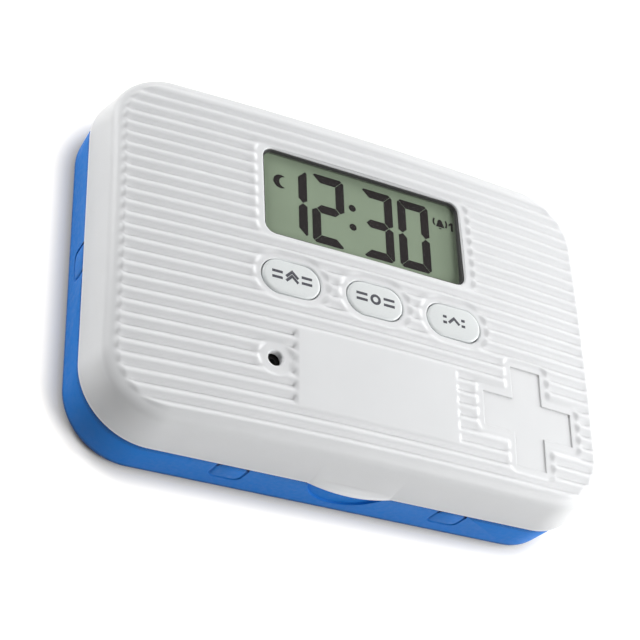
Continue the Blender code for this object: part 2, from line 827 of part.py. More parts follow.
def thumb_scoop():
    front = -WIDTH / 2
    z = RIM_HEIGHT + SCOOP_CENTRE_RISE
    return rod("thumb_scoop", (0, front - OVERRUN, z), (0, front + BASE_INSET + SCOOP_DEPTH, z), SCOOP_RADIUS,
               LARGE_SIDES)


def base_ear(name, start, end):
    web = block("web_" + name, (start, WIDTH / 2 - BASE_INSET - LID_WALL / 2, RIM_HEIGHT - KNUCKLE_RADIUS),
                (end, HINGE_Y, BASE_TOP))
    return web, barrel("barrel_" + name, start, end, KNUCKLE_RADIUS)


def add_ears(base):
    for side, x in hinge_places():
        start, end = span(x, KNUCKLE_LENGTH / 2 + FIT_GAP)
        cut(base, barrel("knuckle_clearance_" + side, start, end, KNUCKLE_RADIUS + FIT_GAP))
        for ear, (ear_start, ear_end) in zip(("a", "b"), ear_spans(x)):
            join(base, *base_ear(side + "_" + ear, ear_start, ear_end))
        start, end = span(x, KNUCKLE_LENGTH / 2 + FIT_GAP + EAR_LENGTH + OVERRUN)
        cut(base, barrel("base_bore_" + side, start, end, PIN_RADIUS + FIT_GAP))


def divider_wall_pair(name, half, side_gap, low, high):
    """The long and the cross wall of the divider, or the slots that take them."""
    reach_x = LENGTH / 2 - TRAY_INSET + DIVIDER_SLOT - side_gap
    reach_y = WIDTH / 2 - TRAY_INSET + DIVIDER_SLOT - side_gap
    return (block(name, (-reach_x, -half, low), (reach_x, half, high)),
            block(name + "_across", (-half, -reach_y, low), (half, reach_y, high)))


def build_base_shell():
    base = part(base_solid(), new_material("base_plastic", BLUE_CLEAR))
    cut(base, tray_hollow())
    for side, x in (("left", -PAD_X), ("right", PAD_X)):
        join(base, friction_pad(side, x), snap_bead(side, x))
    cut(base, thumb_scoop())
    add_ears(base)
    above = TONGUE_TOP + OVERRUN
    cut(base, *divider_wall_pair("divider_slot", DIVIDER_WALL / 2 + FIT_GAP, 0, BASE_FLOOR, above))


def build_divider():
    low = BASE_FLOOR + DIVIDER_FOOT_GAP
    walls = divider_wall_pair("compartment_divider", DIVIDER_WALL / 2, FIT_GAP, low, TONGUE_TOP)
    join(part(walls[0], new_material("divider_plastic", BLUE_CLEAR)), walls[1])


def build_hinge_pins():
    reach = KNUCKLE_LENGTH / 2 + FIT_GAP + EAR_LENGTH
    material = metal("hinge_pin_steel", STEEL)
    for side, x in hinge_places():
        start, end = span(x, reach)
        part(barrel("hinge_pin_" + side, start, end, PIN_RADIUS), material)


# Display

def build_lens(carrier):
    inset = 2 * STACK_GAP + GASKET_WALL
    lens = plate("display_lens", [window_outline(inset)], LENS_UNDERSIDE, LENS_TOP)
    part(lens, new_material("lens_acrylic", CLEAR_ACRYLIC), carrier)


def build_gasket(carrier):
    """A black ring that lines the window from the panel up to just under the crowned face."""
    outlines = [window_outline(STACK_GAP), window_outline(STACK_GAP + GASKET_WALL)]
    top = FACE - GASKET_SUNK
    ring = follow_crown(plate("window_gasket", outlines, LENS_UNDERSIDE, top), LENS_UNDERSIDE, top)
    part(ring, new_material("gasket_rubber", BLACK_PLASTIC), carrier)


def build_panel(carrier):
    panel = plate("lcd_panel", [around_window(PANEL_OVERLAP, PANEL_CORNER)], PANEL_UNDERSIDE, PANEL_TOP)
    part(panel, new_material("panel_glass", LCD_GLASS), carrier)


def build_display_frame(carrier):
    bore = PANEL_OVERLAP + STACK_GAP
    rim = bore + FRAME_WALL
    top = ceiling_over(WINDOW_X, WINDOW_Y, WINDOW_LENGTH / 2 + rim, WINDOW_WIDTH / 2 + rim) - FIT_GAP
    outlines = [around_window(rim, FRAME_WALL), around_window(bore, PANEL_CORNER)]
    part(plate("display_frame", outlines, SOLDER_TOP, top), new_material("frame_plastic", WHITE_ABS), carrier)


def build_zebra(carrier):
    reach = WINDOW_LENGTH / 2 + PANEL_OVERLAP - FRAME_WALL
    front = WINDOW_Y - WINDOW_WIDTH / 2 - PANEL_OVERLAP + STACK_GAP
    zebra = block("zebra_connector", (WINDOW_X - reach, front, SOLDER_TOP),
                  (WINDOW_X + reach, front + ZEBRA_DEPTH, PANEL_UNDERSIDE - STACK_GAP))
    part(zebra, new_material("connector_rubber", ZEBRA_RUBBER), carrier)


# Circuit board

def board_outline():
    """Rounded like the lid at its left end, with a tab beside the display at its right end."""
    right = [(BOARD_RIGHT, -BOARD_BACK), (BOARD_RIGHT, BOARD_TAB_FRONT), (BOARD_TAB_RIGHT, BOARD_TAB_FRONT),
             (BOARD_TAB_RIGHT, BOARD_BACK)]
    corner = CORNER_RADIUS - BOARD_ROOM
    centre_x = CORNER_RADIUS - LENGTH / 2
    centre_y = WIDTH / 2 - CORNER_RADIUS
    back_left = arc(centre_x, centre_y, corner, math.pi / 2, math.pi, CORNER_STEPS)
    front_left = arc(centre_x, -centre_y, corner, math.pi, 3 * math.pi / 2, CORNER_STEPS)
    return right + back_left + front_left


def build_board(carrier):
    board = plate("circuit_board", [board_outline()], BOARD_UNDERSIDE, BOARD_TOP)
    part(board, new_material("board_fibreglass", FIBREGLASS), carrier)
    above = BOARD_TOP + OVERRUN
    for name, x, y in board_screw_places():
        cut(board, disc("board_hole_" + name, x, y, COVER_TOP, above, SHANK_RADIUS + PILOT_GAP, SMALL_SIDES))
    for name, x, y in cover_screw_places():
        if x < BOARD_RIGHT:
            cut(board, disc("boss_relief_" + name, x, y, COVER_TOP, above, BOSS_RADIUS + FIT_GAP))


def build_switch(name, x, carrier):
    half = SWITCH_SIZE / 2
    outline = rounded_rectangle(half, half, SWITCH_CORNER, (x, BUTTON_ROW_Y), FILLET_STEPS)
    body = plate("tact_switch_" + name, [outline], SOLDER_TOP, SWITCH_TOP)
    part(body, new_material("switch_plastic_" + name, BLACK_PLASTIC), carrier)
    floor = PLUNGER_UNDERSIDE - BUTTON_TRAVEL - FIT_GAP
    above = SWITCH_TOP + OVERRUN
    cut(body, disc("switch_well_" + name, x, BUTTON_ROW_Y, floor, above, PLUNGER_RADIUS + FIT_GAP))


def build_buzzer(carrier):
    top = ceiling_over(SOUND_X, SOUND_Y, BUZZER_RADIUS, BUZZER_RADIUS) - FIT_GAP
    well = top - BUZZER_PORT_DEPTH
    profile = [(0, well), (BUZZER_PORT_RADIUS, well), (BUZZER_PORT_RADIUS, top),
               (BUZZER_RADIUS - BUZZER_BEVEL, top), (BUZZER_RADIUS, top - BUZZER_BEVEL),
               (BUZZER_RADIUS, SOLDER_TOP), (0, SOLDER_TOP)]
    part(turned("buzzer", profile, SOUND_X, SOUND_Y), new_material("buzzer_plastic", BLACK_PLASTIC), carrier)


def build_blob(carrier):
    angles = [math.pi / 2 * i / FILLET_STEPS for i in range(FILLET_STEPS + 1)]
    dome = [(BLOB_RADIUS * math.sin(a), SOLDER_TOP + BLOB_HEIGHT * math.cos(a)) for a in angles]
    blob = turned("controller_blob", dome + [(0, SOLDER_TOP)], BUTTON_ROW_X, BLOB_Y)
    part(blob, new_material("blob_epoxy", BLACK_EPOXY), carrier)


def build_crystal(carrier):
    x = BUTTON_ROW_X + CRYSTAL_TO_BLOB
    z = SOLDER_TOP + CRYSTAL_RADIUS
    start, end = span(BLOB_Y, CRYSTAL_LENGTH / 2)
    crystal = part(rod("quartz_crystal", (x, start, z), (x, end, z), CRYSTAL_RADIUS, SMALL_SIDES),
                   metal("crystal_can", NICKEL), carrier)
    bevel_edges(crystal, CRYSTAL_BEVEL, 1)


# Buttons

def build_button(name, x, carrier):
    top = FACE - crown_drop(x, BUTTON_ROW_Y) + BUTTON_PROUD
    outline = stadium(x, BUTTON_ROW_Y, BUTTON_LENGTH, BUTTON_WIDTH)
    cap = plate("button_" + name, [outline], FLANGE_UNDERSIDE, top)
    part(cap, new_material("button_plastic_" + name, WHITE_ABS), carrier)
    bevel_edges(cap, BUTTON_BEVEL)
    reach = 2 * FLANGE_REACH
    wider = stadium(x, BUTTON_ROW_Y, BUTTON_LENGTH + reach, BUTTON_WIDTH + reach)
    flange = plate("flange_" + name, [wider], FLANGE_UNDERSIDE, FLANGE_TOP)
    stem = disc("stem_" + name, x, BUTTON_ROW_Y, STEM_UNDERSIDE, FLANGE_TOP, STEM_RADIUS)
    join(cap, flange, stem)


def build_plunger(name, x, carrier):
    plunger = disc("switch_plunger_" + name, x, BUTTON_ROW_Y, PLUNGER_UNDERSIDE, PLUNGER_TOP,
                   PLUNGER_RADIUS)
    part(plunger, new_material("plunger_plastic_" + name, WHITE_ABS), carrier)


# Inner cover and battery

def wedge(name, middle, spread, inner, outer, low, high):
    """A piece of a ring about the cell, so far to each side of its middle angle."""
    start, end = span(middle, spread)
    outline = arc(CELL_X, CELL_Y, outer, start, end, FILLET_STEPS)
    outline += arc(CELL_X, CELL_Y, inner, end, start, FILLET_STEPS)
    return plate(name, [outline], low, high)


def lug_angles():
    return (("front", -math.pi / 2), ("back", math.pi / 2))


def build_inner_cover(carrier):
    outline = [(x, y) for x, y, z in body_ring(lid_inner_inset(COVER_TOP) + FIT_GAP, 0)]
    cover = plate("inner_cover", [outline], COVER_UNDERSIDE, COVER_TOP)
    part(cover, new_material("inner_cover_plastic", WHITE_ABS), carrier)
    below = COVER_UNDERSIDE - OVERRUN
    above = COVER_TOP + OVERRUN
    cut(cover, disc("battery_opening", CELL_X, CELL_Y, below, above, CUP_RADIUS + FIT_GAP, LARGE_SIDES))
    cut(cover, disc("lug_pocket", CELL_X, CELL_Y, COVER_UNDERSIDE + COVER_FLANGE, above, LUG_RADIUS + FIT_GAP,
                    LARGE_SIDES))
    for side, angle in lug_angles():
        cut(cover, wedge("lug_notch_" + side, angle + LOCK_ANGLE, LUG_HALF_ANGLE + LUG_PLAY_ANGLE,
                         CUP_RADIUS - CUP_WALL, LUG_RADIUS + FIT_GAP, below, above))
    seat = COVER_UNDERSIDE + HEAD_RECESS
    for name, x, y in cover_screw_places():
        cut(cover, disc("cover_hole_" + name, x, y, below, above, SHANK_RADIUS + PILOT_GAP, SMALL_SIDES))
        cut(cover, disc("head_recess_" + name, x, y, below, seat, HEAD_RADIUS + FIT_GAP, SMALL_SIDES))


def build_battery_cover(carrier):
    cup_inside = CUP_RADIUS - CUP_WALL
    rim = COVER_TOP + CUP_HEIGHT
    profile = [(0, COVER_TOP), (cup_inside, COVER_TOP), (cup_inside, rim), (CUP_RADIUS, rim),
               (CUP_RADIUS, COVER_UNDERSIDE), (0, COVER_UNDERSIDE)]
    cover = part(turned("battery_cover", profile, CELL_X, CELL_Y, LARGE_SIDES),
                 new_material("battery_cover_plastic", WHITE_ABS), carrier)
    lug_low = COVER_UNDERSIDE + COVER_FLANGE + FIT_GAP
    for side, angle in lug_angles():
        join(cover, wedge("lug_" + side, angle, LUG_HALF_ANGLE, CUP_RADIUS - CUP_WALL / 2, LUG_RADIUS,
                          lug_low, lug_low + LUG_THICKNESS))
    half_x = COIN_SLOT_WIDTH / 2
    half_y = COIN_SLOT_LENGTH / 2
    cut(cover, block("coin_slot", (CELL_X - half_x, CELL_Y - half_y, COVER_UNDERSIDE - OVERRUN),
                     (CELL_X + half_x, CELL_Y + half_y, COVER_UNDERSIDE + COIN_SLOT_DEPTH)))


def build_coin_cell(carrier):
    profile = [(0, CELL_TOP), (CELL_RADIUS - CELL_BEVEL, CELL_TOP), (CELL_RADIUS, CELL_TOP - CELL_BEVEL),
               (CELL_RADIUS, CELL_UNDERSIDE + CELL_BEVEL), (CELL_RADIUS - CELL_BEVEL, CELL_UNDERSIDE),
               (0, CELL_UNDERSIDE)]
    part(turned("coin_cell", profile, CELL_X, CELL_Y, LARGE_SIDES), metal("cell_nickel", NICKEL), carrier)


def beside(path, distance):
    """The line so far to the right of a path of level and upright runs."""
    runs = [(Vector(end) - Vector(start)).normalized() for start, end in zip(path, path[1:])]
    offsets = [Vector((run.y, -run.x)) * distance for run in runs]
    line = [Vector(path[0]) + offsets[0]]
    line += [Vector(place) + before + after for place, before, after in zip(path[1:], offsets, offsets[1:])]
    return line + [Vector(path[-1]) + offsets[-1]]


def strip(name, path, y, carrier):
    """A bent metal strip: its middle line in X and Z, level runs and upright runs by turns."""
    half = CONTACT_THICKNESS / 2
    outline = beside(path, half) + list(reversed(beside(path, -half)))
    front, back = span(y, CONTACT_WIDTH / 2)
    part(standing_plate(name, outline, front, back), metal(name + "_nickel", NICKEL), carrier)


def build_contacts(carrier):
    foot = SOLDER_TOP + CONTACT_THICKNESS / 2
    foot_start = BOARD_RIGHT - CONTACT_FOOT
    side = CELL_X - CELL_RADIUS - STACK_GAP - CONTACT_THICKNESS
    up_the_side = [(foot_start, foot), (side, foot), (side, CELL_TOP - CELL_BEVEL)]
    strip("battery_contact_positive", up_the_side, CELL_Y, carrier)
    over = CELL_TOP + STACK_GAP + CONTACT_THICKNESS
    over_the_top = [(foot_start, foot), (BOARD_RIGHT, foot), (BOARD_RIGHT, over), (side + SPRING_REACH, over)]
    strip("battery_contact_negative", over_the_top, CELL_Y - CONTACT_SPACING, carrier)


# Screws

def screw(name, x, y, head_top, tip, material, carrier):
    """A screw driven upwards, whose head seats at head_top."""
    head = disc(name, x, y, head_top - HEAD_HEIGHT, head_top, HEAD_RADIUS, SMALL_SIDES)
    shank = disc("shank_of_" + name, x, y, head_top - HEAD_HEIGHT / 2, tip, SHANK_RADIUS, SMALL_SIDES)
    join(part(head, material, carrier), shank)


def build_screws(carrier):
    material = metal("screw_steel", STEEL)
    for name, x, y in cover_screw_places():
        seat = COVER_UNDERSIDE + HEAD_RECESS - STACK_GAP
        screw("cover_screw_" + name, x, y, seat, cover_screw_tip(x, y), material, carrier)
    for name, x, y in board_screw_places():
        seat = BOARD_UNDERSIDE - STACK_GAP
        screw("board_screw_" + name, x, y, seat, BOARD_UNDERSIDE + BOARD_SCREW_LENGTH, material, carrier)


def build():
    lid = pivot("lid_hinge", (0, HINGE_Y, RIM_HEIGHT))
    battery = pivot("battery_cover_turn", (CELL_X, CELL_Y, COVER_UNDERSIDE), lid)
    slides = {name: pivot("button_slide_" + name, (x, BUTTON_ROW_Y, PLUNGER_TOP), lid)
              for name, x in BUTTON_PLACES.items()}

    build_base_shell()
    build_divider()
    build_hinge_pins()
    build_lid_shell(lid)
    build_lens(lid)
    build_gasket(lid)
    build_panel(lid)
    build_display_frame(lid)
    build_zebra(lid)
    build_board(lid)
    build_buzzer(lid)
    build_blob(lid)
    build_crystal(lid)
    for name, x in BUTTON_PLACES.items():
        build_switch(name, x, lid)
        build_button(name, x, slides[name])
        build_plunger(name, x, slides[name])
    build_inner_cover(lid)
    build_battery_cover(battery)
    build_coin_cell(lid)
    build_contacts(lid)
    build_screws(lid)


build()
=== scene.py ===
import json
import math

import bmesh
import bpy
import numpy as np
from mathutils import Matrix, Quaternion, Vector


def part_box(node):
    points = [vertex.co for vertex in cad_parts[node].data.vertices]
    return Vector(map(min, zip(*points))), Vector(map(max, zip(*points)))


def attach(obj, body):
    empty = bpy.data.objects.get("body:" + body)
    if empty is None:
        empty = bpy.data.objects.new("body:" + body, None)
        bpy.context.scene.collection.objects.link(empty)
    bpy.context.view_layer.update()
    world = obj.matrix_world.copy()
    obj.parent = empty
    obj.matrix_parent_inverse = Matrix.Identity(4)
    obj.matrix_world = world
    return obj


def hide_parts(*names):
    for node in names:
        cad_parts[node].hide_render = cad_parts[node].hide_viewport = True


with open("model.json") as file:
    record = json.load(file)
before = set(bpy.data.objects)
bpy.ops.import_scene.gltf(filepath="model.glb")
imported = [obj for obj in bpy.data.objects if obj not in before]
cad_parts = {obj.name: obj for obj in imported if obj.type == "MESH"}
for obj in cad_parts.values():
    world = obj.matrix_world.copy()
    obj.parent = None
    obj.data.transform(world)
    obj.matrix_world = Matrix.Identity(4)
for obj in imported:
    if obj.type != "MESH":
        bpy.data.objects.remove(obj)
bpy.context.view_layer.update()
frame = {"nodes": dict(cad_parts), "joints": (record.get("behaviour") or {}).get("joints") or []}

MM = 0.001

# Whole object: rim outline, heights and the hinge's axis, partly read from the imported solids and the
# record's joints
LENS_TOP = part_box("display_lens")[1].z
PANEL_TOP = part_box("lcd_panel")[1].z
GASKET_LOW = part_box("window_gasket")[0].z
HINGE = next(joint for joint in frame["joints"] if joint["name"] == "lid_hinge")["pos_m"]
HALF_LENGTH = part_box("lid_shell")[1].x
HALF_WIDTH = 36.55 * MM
CORNER_RADIUS = 13.2 * MM
RIM = 10.4 * MM
CROWN_SAG_X = 2.0 * MM
CROWN_SAG_Y = 1.3 * MM
FIT_GAP = 0.3 * MM
OVERRUN = 2.0 * MM

# Ribbed face: heights over and under the smooth border, and the power under 1 that broadens the crests
RIB_PITCH = 2.5 * MM
RIB_RISE = 0.4 * MM
RIB_FRONT = -33.1 * MM
RIB_BACK = 31.9 * MM
VALLEY_DEPTH = 0.26 * MM
RIB_TAPER = 0.8 * MM
VALLEY_TAPER = 2.0 * MM
RIB_POWER = 0.55
FIELD_INSET = 2.7 * MM
FACE = LENS_TOP + 1.4 * MM
LABEL_EDGE = 0.45 * MM
LABEL = (0.65 * MM, -20.6 * MM, 16.85 * MM, 7.8 * MM)    # centre and half sizes
GRID_INSET = 2.4 * MM
GRID_STEP_X = 0.36 * MM
GRID_STEP_Y = 0.25 * MM
GRID_CORNER_ROWS = 56

# Lid shell
LID_WALL = 1.6 * MM
LID_LEAN = 1.2 * MM
LID_FILLET = 2.4 * MM
CEILING = FACE - 1.2 * MM
CEILING_FILLET = 1.0 * MM
CEILING_SHARES = (0.6, 0.2)
EDGE_ROUND = 0.25 * MM
EDGE_MIDDLE = 0.3 * EDGE_ROUND
FILLET_RINGS = 9
CORNER_STEPS = 20
MOUTH_STEPS = 4

# Openings of the face: centre, half sizes and corner
WINDOW = (-0.2 * MM, 15.5 * MM, 21.3 * MM, 9.65 * MM, 2.2 * MM)
WINDOW_BORDER_X = 1.3 * MM
WINDOW_BORDER_Y = 0.55 * MM
BUTTON_HALF_LENGTH = 5.75 * MM
BUTTON_HALF_WIDTH = 3.4 * MM
BUTTON_GAP = 0.2 * MM
BUTTON_BORDER = 1.0 * MM
BUTTON_PROUD = 0.15 * MM
SOUND = (-19.75 * MM, -19.8 * MM)
SOUND_RADIUS = 1.4 * MM
SOUND_BORDER = 1.5 * MM
CROSS = (33.2 * MM, -19.2 * MM)
CROSS_REACH = 10.1 * MM
CROSS_ARM_HALF = 3.4 * MM
CROSS_DEPTH = 0.22 * MM
CROSS_BORDER = 1.1 * MM
CROSS_CUTS = 6
PANEL_MARGIN = 0.9 * MM
PANEL_CORNER = 1.0 * MM
PANEL_GAP = 0.1 * MM
GASKET_WALL = 0.35 * MM
GASKET_SUNK = 0.3 * MM
GASKET_LIP = 0.08 * MM
GASKET_FLARE = 0.45 * MM

# Thumb lip and scoop
LIP_HALF_WIDTH = 8.5 * MM
LIP_REACH = 1.0 * MM
LIP_TOP_REACH = 0.12 * MM
LIP_ROOT = 0.1 * MM
LIP_THICKNESS = 1.6 * MM
LIP_LEVELS = 10
LIP_STEPS = 32
LIP_LEAN = 0.15 * LID_LEAN
SCOOP_RADIUS = 8.0 * MM
SCOOP_RISE = 1.3 * MM
SCOOP_DEPTH = 0.7 * MM

# Base shell
BASE_TOP = 10.1 * MM
BASE_INSET = 0.4 * MM
BASE_LEAN = 0.4 * MM
BASE_ROUND = 1.8 * MM
BASE_FLOOR = 1.5 * MM
TONGUE_INSET = 1.9 * MM
TONGUE_TOP = 12.7 * MM
TONGUE_LEAN = 0.3 * MM
TRAY_INSET = 2.9 * MM
TRAY_ROUND = 1.2 * MM
PAD_X = 22.2 * MM
PAD_WIDTH = 5.6 * MM
PAD_HEIGHT = 5.1 * MM
PAD_CORNER = 1.2 * MM
PAD_STEPS = 8
PAD_GROOVE = 0.4 * MM
PAD_GROOVE_DEPTH = 0.22 * MM
END_PAD_Y = -1.4 * MM
BEAD_LENGTH = 6.0 * MM
BEAD_RADIUS = 0.5 * MM
BEAD_PROUD = 0.1 * MM
BEAD_RISE = 1.4 * MM
DIVIDER_HALF = 0.6 * MM
DIVIDER_SLOT = 0.5 * MM

# Hinge
HINGE_X = 27.0 * MM
KNUCKLE_RADIUS = 1.7 * MM
KNUCKLE_LENGTH = 9.0 * MM
EAR_LENGTH = 4.0 * MM
PIN_RADIUS = 0.6 * MM

# Screw bosses in the lid
BOSS_RADIUS = 2.2 * MM
PILOT_RADIUS = 1.1 * MM
PILOT_PAST = 0.2 * MM
BOSS_SUNK = 0.5 * MM
COVER_BOSS_RISE = 1.5 * MM
BOARD_BOSS_RISE = 1.9 * MM

# Button caps
CAP_FLANGE = 0.7 * MM
CAP_FLANGE_THICKNESS = 0.5 * MM
CAP_STEM_RADIUS = 1.4 * MM
CAP_STEM_RISE = 0.1 * MM
CAP_EDGE = 0.55 * MM
CAP_EDGE_RISE = 0.55 * CAP_EDGE
CAP_EDGE_STEPS = 6

# Figures on the display and marks on the caps
DIGIT_LOW = 7.85 * MM
DIGIT_HEIGHT = 15.4 * MM
DIGIT_WIDTH = 6.9 * MM
DIGIT_STROKE = 1.8 * MM
DIGIT_GAP = 0.15 * MM
ONE_SHORTER = 0.3 * MM
DIGIT_LEFTS = (("2", -10.8 * MM), ("3", -0.2 * MM), ("0", 7.9 * MM))
ONE_LEFT = -18.7 * MM
COLON_X = -2.15 * MM
COLON_HEIGHTS = (17.8 * MM, 13.5 * MM)
COLON_RADIUS = 0.75 * MM
BELL = (17.5 * MM, 20.2 * MM, 2.4 * MM)
SMALL_ONE = (20.4 * MM, 19.25 * MM, 1.9 * MM, 0.45 * MM)
CRESCENT = (-17.3 * MM, 19.1 * MM, 1.5 * MM)
FIGURE_LIFT = 0.01 * MM
FIGURE_THICKNESS = 0.03 * MM
MITRE_LEAST = 0.3
MARK_HALF = 0.27 * MM
MARK_REACH = 1.1 * MM
MARK_OFFSET = 0.15 * MM
MARK_LIFT = 0.005 * MM
MARK_THICKNESS = 0.015 * MM

# Camera of the photograph: a lens on a 36 mm sensor, turned about its own axis
CAMERA_PLACE = Vector((-139.6, -166.2, 245.7)) * MM
CAMERA_AZIMUTH = math.radians(39.48)
CAMERA_DOWN = math.radians(47.97)
CAMERA_ROLL = math.radians(46.07)
CAMERA_LENS = 96.42

# Studio: lamps in metres and watts, the floor's soft shadow and its own brightness
LAMP_DISTANCE = 0.9
LAMP_SIZE = 0.45
FLOOR_HALF = 3.0
FLOOR_GLOW = 0.8
CONTACT_REACH = 4.0 * MM
CONTACT_POWER = 2.5
WORLD_LIGHT = 0.04

SMOOTH_ANGLE = math.radians(48.0)
SIDES = 48


# Meshes and Booleans

def link(item):
    bpy.context.scene.collection.objects.link(item)
    return item


def mesh_object(name, points, faces):
    mesh = bpy.data.meshes.new(name)
    mesh.from_pydata([tuple(point) for point in points], [], faces)
    mesh.update()
    return link(bpy.data.objects.new(name, mesh))


def loft(name, rings):
    """A closed solid through rings of equally many points, lowest ring first."""
    count = len(rings[0])
    points = [point for ring in rings for point in ring]
    faces = []
    for level in range(len(rings) - 1):
        for i in range(count):
            j = (i + 1) % count
            low, high = level * count, (level + 1) * count
            faces.append((low + i, low + j, high + j, high + i))
    faces.append(tuple(reversed(range(count))))
    faces.append(tuple(range(len(points) - count, len(points))))
    return mesh_object(name, points, faces)


def drop_object(item):
    mesh = item.data
    bpy.data.objects.remove(item, do_unlink=True)
    bpy.data.meshes.remove(mesh)


def carve(target, operation, tool):
    """Cuts a closed solid out of another or joins the two, and removes the first."""
    modifier = target.modifiers.new(tool.name, "BOOLEAN")
    modifier.operation = operation
    modifier.solver = "MANIFOLD"
    modifier.object = tool
    graph = bpy.context.evaluated_depsgraph_get()
    mesh = bpy.data.meshes.new_from_object(target.evaluated_get(graph))
    target.modifiers.clear()
    old = target.data
    target.data = mesh
    bpy.data.meshes.remove(old)
    drop_object(tool)


def cut(target, tool):
    carve(target, "DIFFERENCE", tool)


def join(target, tool):
    carve(target, "UNION", tool)


def block(name, low, high):
    corners = [(low[0], low[1]), (high[0], low[1]), (high[0], high[1]), (low[0], high[1])]
    return loft(name, [[(x, y, z) for x, y in corners] for z in (low[2], high[2])])


def rod(name, start, end, radius, sides=SIDES):
    start, end = Vector(start), Vector(end)
    turn = Vector((0, 0, 1)).rotation_difference(end - start)
    circle = [turn @ Vector((radius * math.cos(a), radius * math.sin(a), 0))
              for a in (2 * math.pi * i / sides for i in range(sides))]
    return loft(name, [[place + point for point in circle] for place in (start, end)])


def outward(item):
    """Turns every face of a closed solid to the outside."""
    bm = bmesh.new()
    bm.from_mesh(item.data)
    bmesh.ops.recalc_face_normals(bm, faces=bm.faces)
    bm.to_mesh(item.data)
    bm.free()


def smooth(item):
    item.data.shade_smooth()
    item.data.set_sharp_from_angle(angle=SMOOTH_ANGLE)


# Outlines and heights

def rounded_outline(centre_x, centre_y, half_x, half_y, radius, steps=CORNER_STEPS):
    points = []
    for turn, (side_x, side_y) in enumerate([(1, 1), (-1, 1), (-1, -1), (1, -1)]):
        for i in range(steps + 1):
            angle = (turn + i / steps) * math.pi / 2
            points.append((centre_x + side_x * (half_x - radius) + radius * math.cos(angle),
                           centre_y + side_y * (half_y - radius) + radius * math.sin(angle)))
    return points


def quarter_turn(steps):
    """Steps of a quarter round, as the share still to go across and the share gone up."""
    angles = [math.pi / 2 * i / steps for i in range(steps + 1)]
    return [(1 - math.sin(angle), 1 - math.cos(angle)) for angle in angles]


def body_ring(inset, z):
    outline = rounded_outline(0, 0, HALF_LENGTH - inset, HALF_WIDTH - inset, CORNER_RADIUS - inset)
    return [(x, y, z) for x, y in outline]


def crown_drop(x, y):
    return CROWN_SAG_X * (x / HALF_LENGTH) ** 2 + CROWN_SAG_Y * (y / HALF_WIDTH) ** 2


def crowned(x, y, z, top):
    """The height of a level z once the top has been bent to the crown and the rim left level."""
    return z - crown_drop(x, y) * (z - RIM) / (top - RIM)


def box_distance(x, y, shape):
    """Distance to a rounded box given as centre, half sizes and corner; negative inside it."""
    centre_x, centre_y, half_x, half_y, radius = shape
    past_x = np.abs(x - centre_x) - (half_x - radius)
    past_y = np.abs(y - centre_y) - (half_y - radius)
    outside = np.hypot(np.maximum(past_x, 0), np.maximum(past_y, 0))
    return outside + np.minimum(np.maximum(past_x, past_y), 0) - radius


def ease(share):
    share = np.clip(share, 0, 1)
    return share * share * (3 - 2 * share)


# Fine lid

def button_places():
    places = {}
    for name in ("hour", "mode", "minute"):
        low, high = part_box("button_" + name)
        places[name] = ((low.x + high.x) / 2, (low.y + high.y) / 2)
    return places


BUTTONS = button_places()


def field_room(x, y):
    """How far a place lies inside the ribbed field, clear of every smooth border."""
    field = (0, 0, HALF_LENGTH - FIELD_INSET, HALF_WIDTH - FIELD_INSET, CORNER_RADIUS - FIELD_INSET)
    room = -box_distance(x, y, field)
    window_x, window_y, half_x, half_y, corner = WINDOW
    border = (window_x, window_y, half_x + WINDOW_BORDER_X, half_y + WINDOW_BORDER_Y, corner)
    room = np.minimum(room, box_distance(x, y, border))
    reach = BUTTON_GAP + BUTTON_BORDER
    half = BUTTON_HALF_WIDTH + reach
    for place in BUTTONS.values():
        room = np.minimum(room, box_distance(x, y, (*place, BUTTON_HALF_LENGTH + reach, half, half)))
    room = np.minimum(room, np.hypot(x - SOUND[0], y - SOUND[1]) - SOUND_RADIUS - SOUND_BORDER)
    for along, across in ((CROSS_REACH, CROSS_ARM_HALF), (CROSS_ARM_HALF, CROSS_REACH)):
        arm = (*CROSS, along + CROSS_BORDER, across + CROSS_BORDER, CROSS_BORDER)
        room = np.minimum(room, box_distance(x, y, arm))
    return room


def relief(x, y):
    """The height of ribs, valleys and label panel over the smooth face."""
    phase = 2 * math.pi * (y - RIB_FRONT) / RIB_PITCH
    wave = (0.5 + 0.5 * np.cos(phase)) ** RIB_POWER
    rows = (y > RIB_FRONT - RIB_PITCH / 2) & (y < RIB_BACK + RIB_PITCH / 2)
    valley = np.where((y > RIB_FRONT) & (y < RIB_BACK), VALLEY_DEPTH, 0)
    room = field_room(x, y)
    crests = RIB_RISE * wave * rows * ease(room / RIB_TAPER)
    ribs = crests - valley * (1 - wave) * ease(room / VALLEY_TAPER)
    label = RIB_RISE * ease(-box_distance(x, y, (*LABEL, 0)) / LABEL_EDGE)
    return np.where(label > 0, np.maximum(ribs, label), ribs)


def face_height(x, y):
    inset = -box_distance(x, y, (0, 0, HALF_LENGTH, HALF_WIDTH, CORNER_RADIUS))
    into_fillet = np.clip(LID_LEAN + LID_FILLET - inset, 0, LID_FILLET)
    level = FACE - LID_FILLET + np.sqrt(LID_FILLET ** 2 - into_fillet ** 2)
    return crowned(x, y, level, FACE) + relief(x, y)


def grid_rows():
    """Places of the grid's rows along Y, finer where the corners turn in."""
    radius = CORNER_RADIUS - GRID_INSET
    straight = HALF_WIDTH - CORNER_RADIUS
    corner = [straight + radius * math.sin(math.pi / 2 * i / GRID_CORNER_ROWS)
              for i in range(GRID_CORNER_ROWS + 1)]
    steps = round(2 * straight / GRID_STEP_Y)
    middle = [-straight + 2 * straight * i / steps for i in range(1, steps)]
    return np.array([-y for y in reversed(corner)] + middle + corner)


def half_length_at(y):
    radius = CORNER_RADIUS - GRID_INSET
    into_corner = np.maximum(np.abs(y) - (HALF_WIDTH - CORNER_RADIUS), 0)
    return HALF_LENGTH - CORNER_RADIUS + np.sqrt(np.maximum(radius ** 2 - into_corner ** 2, 0))


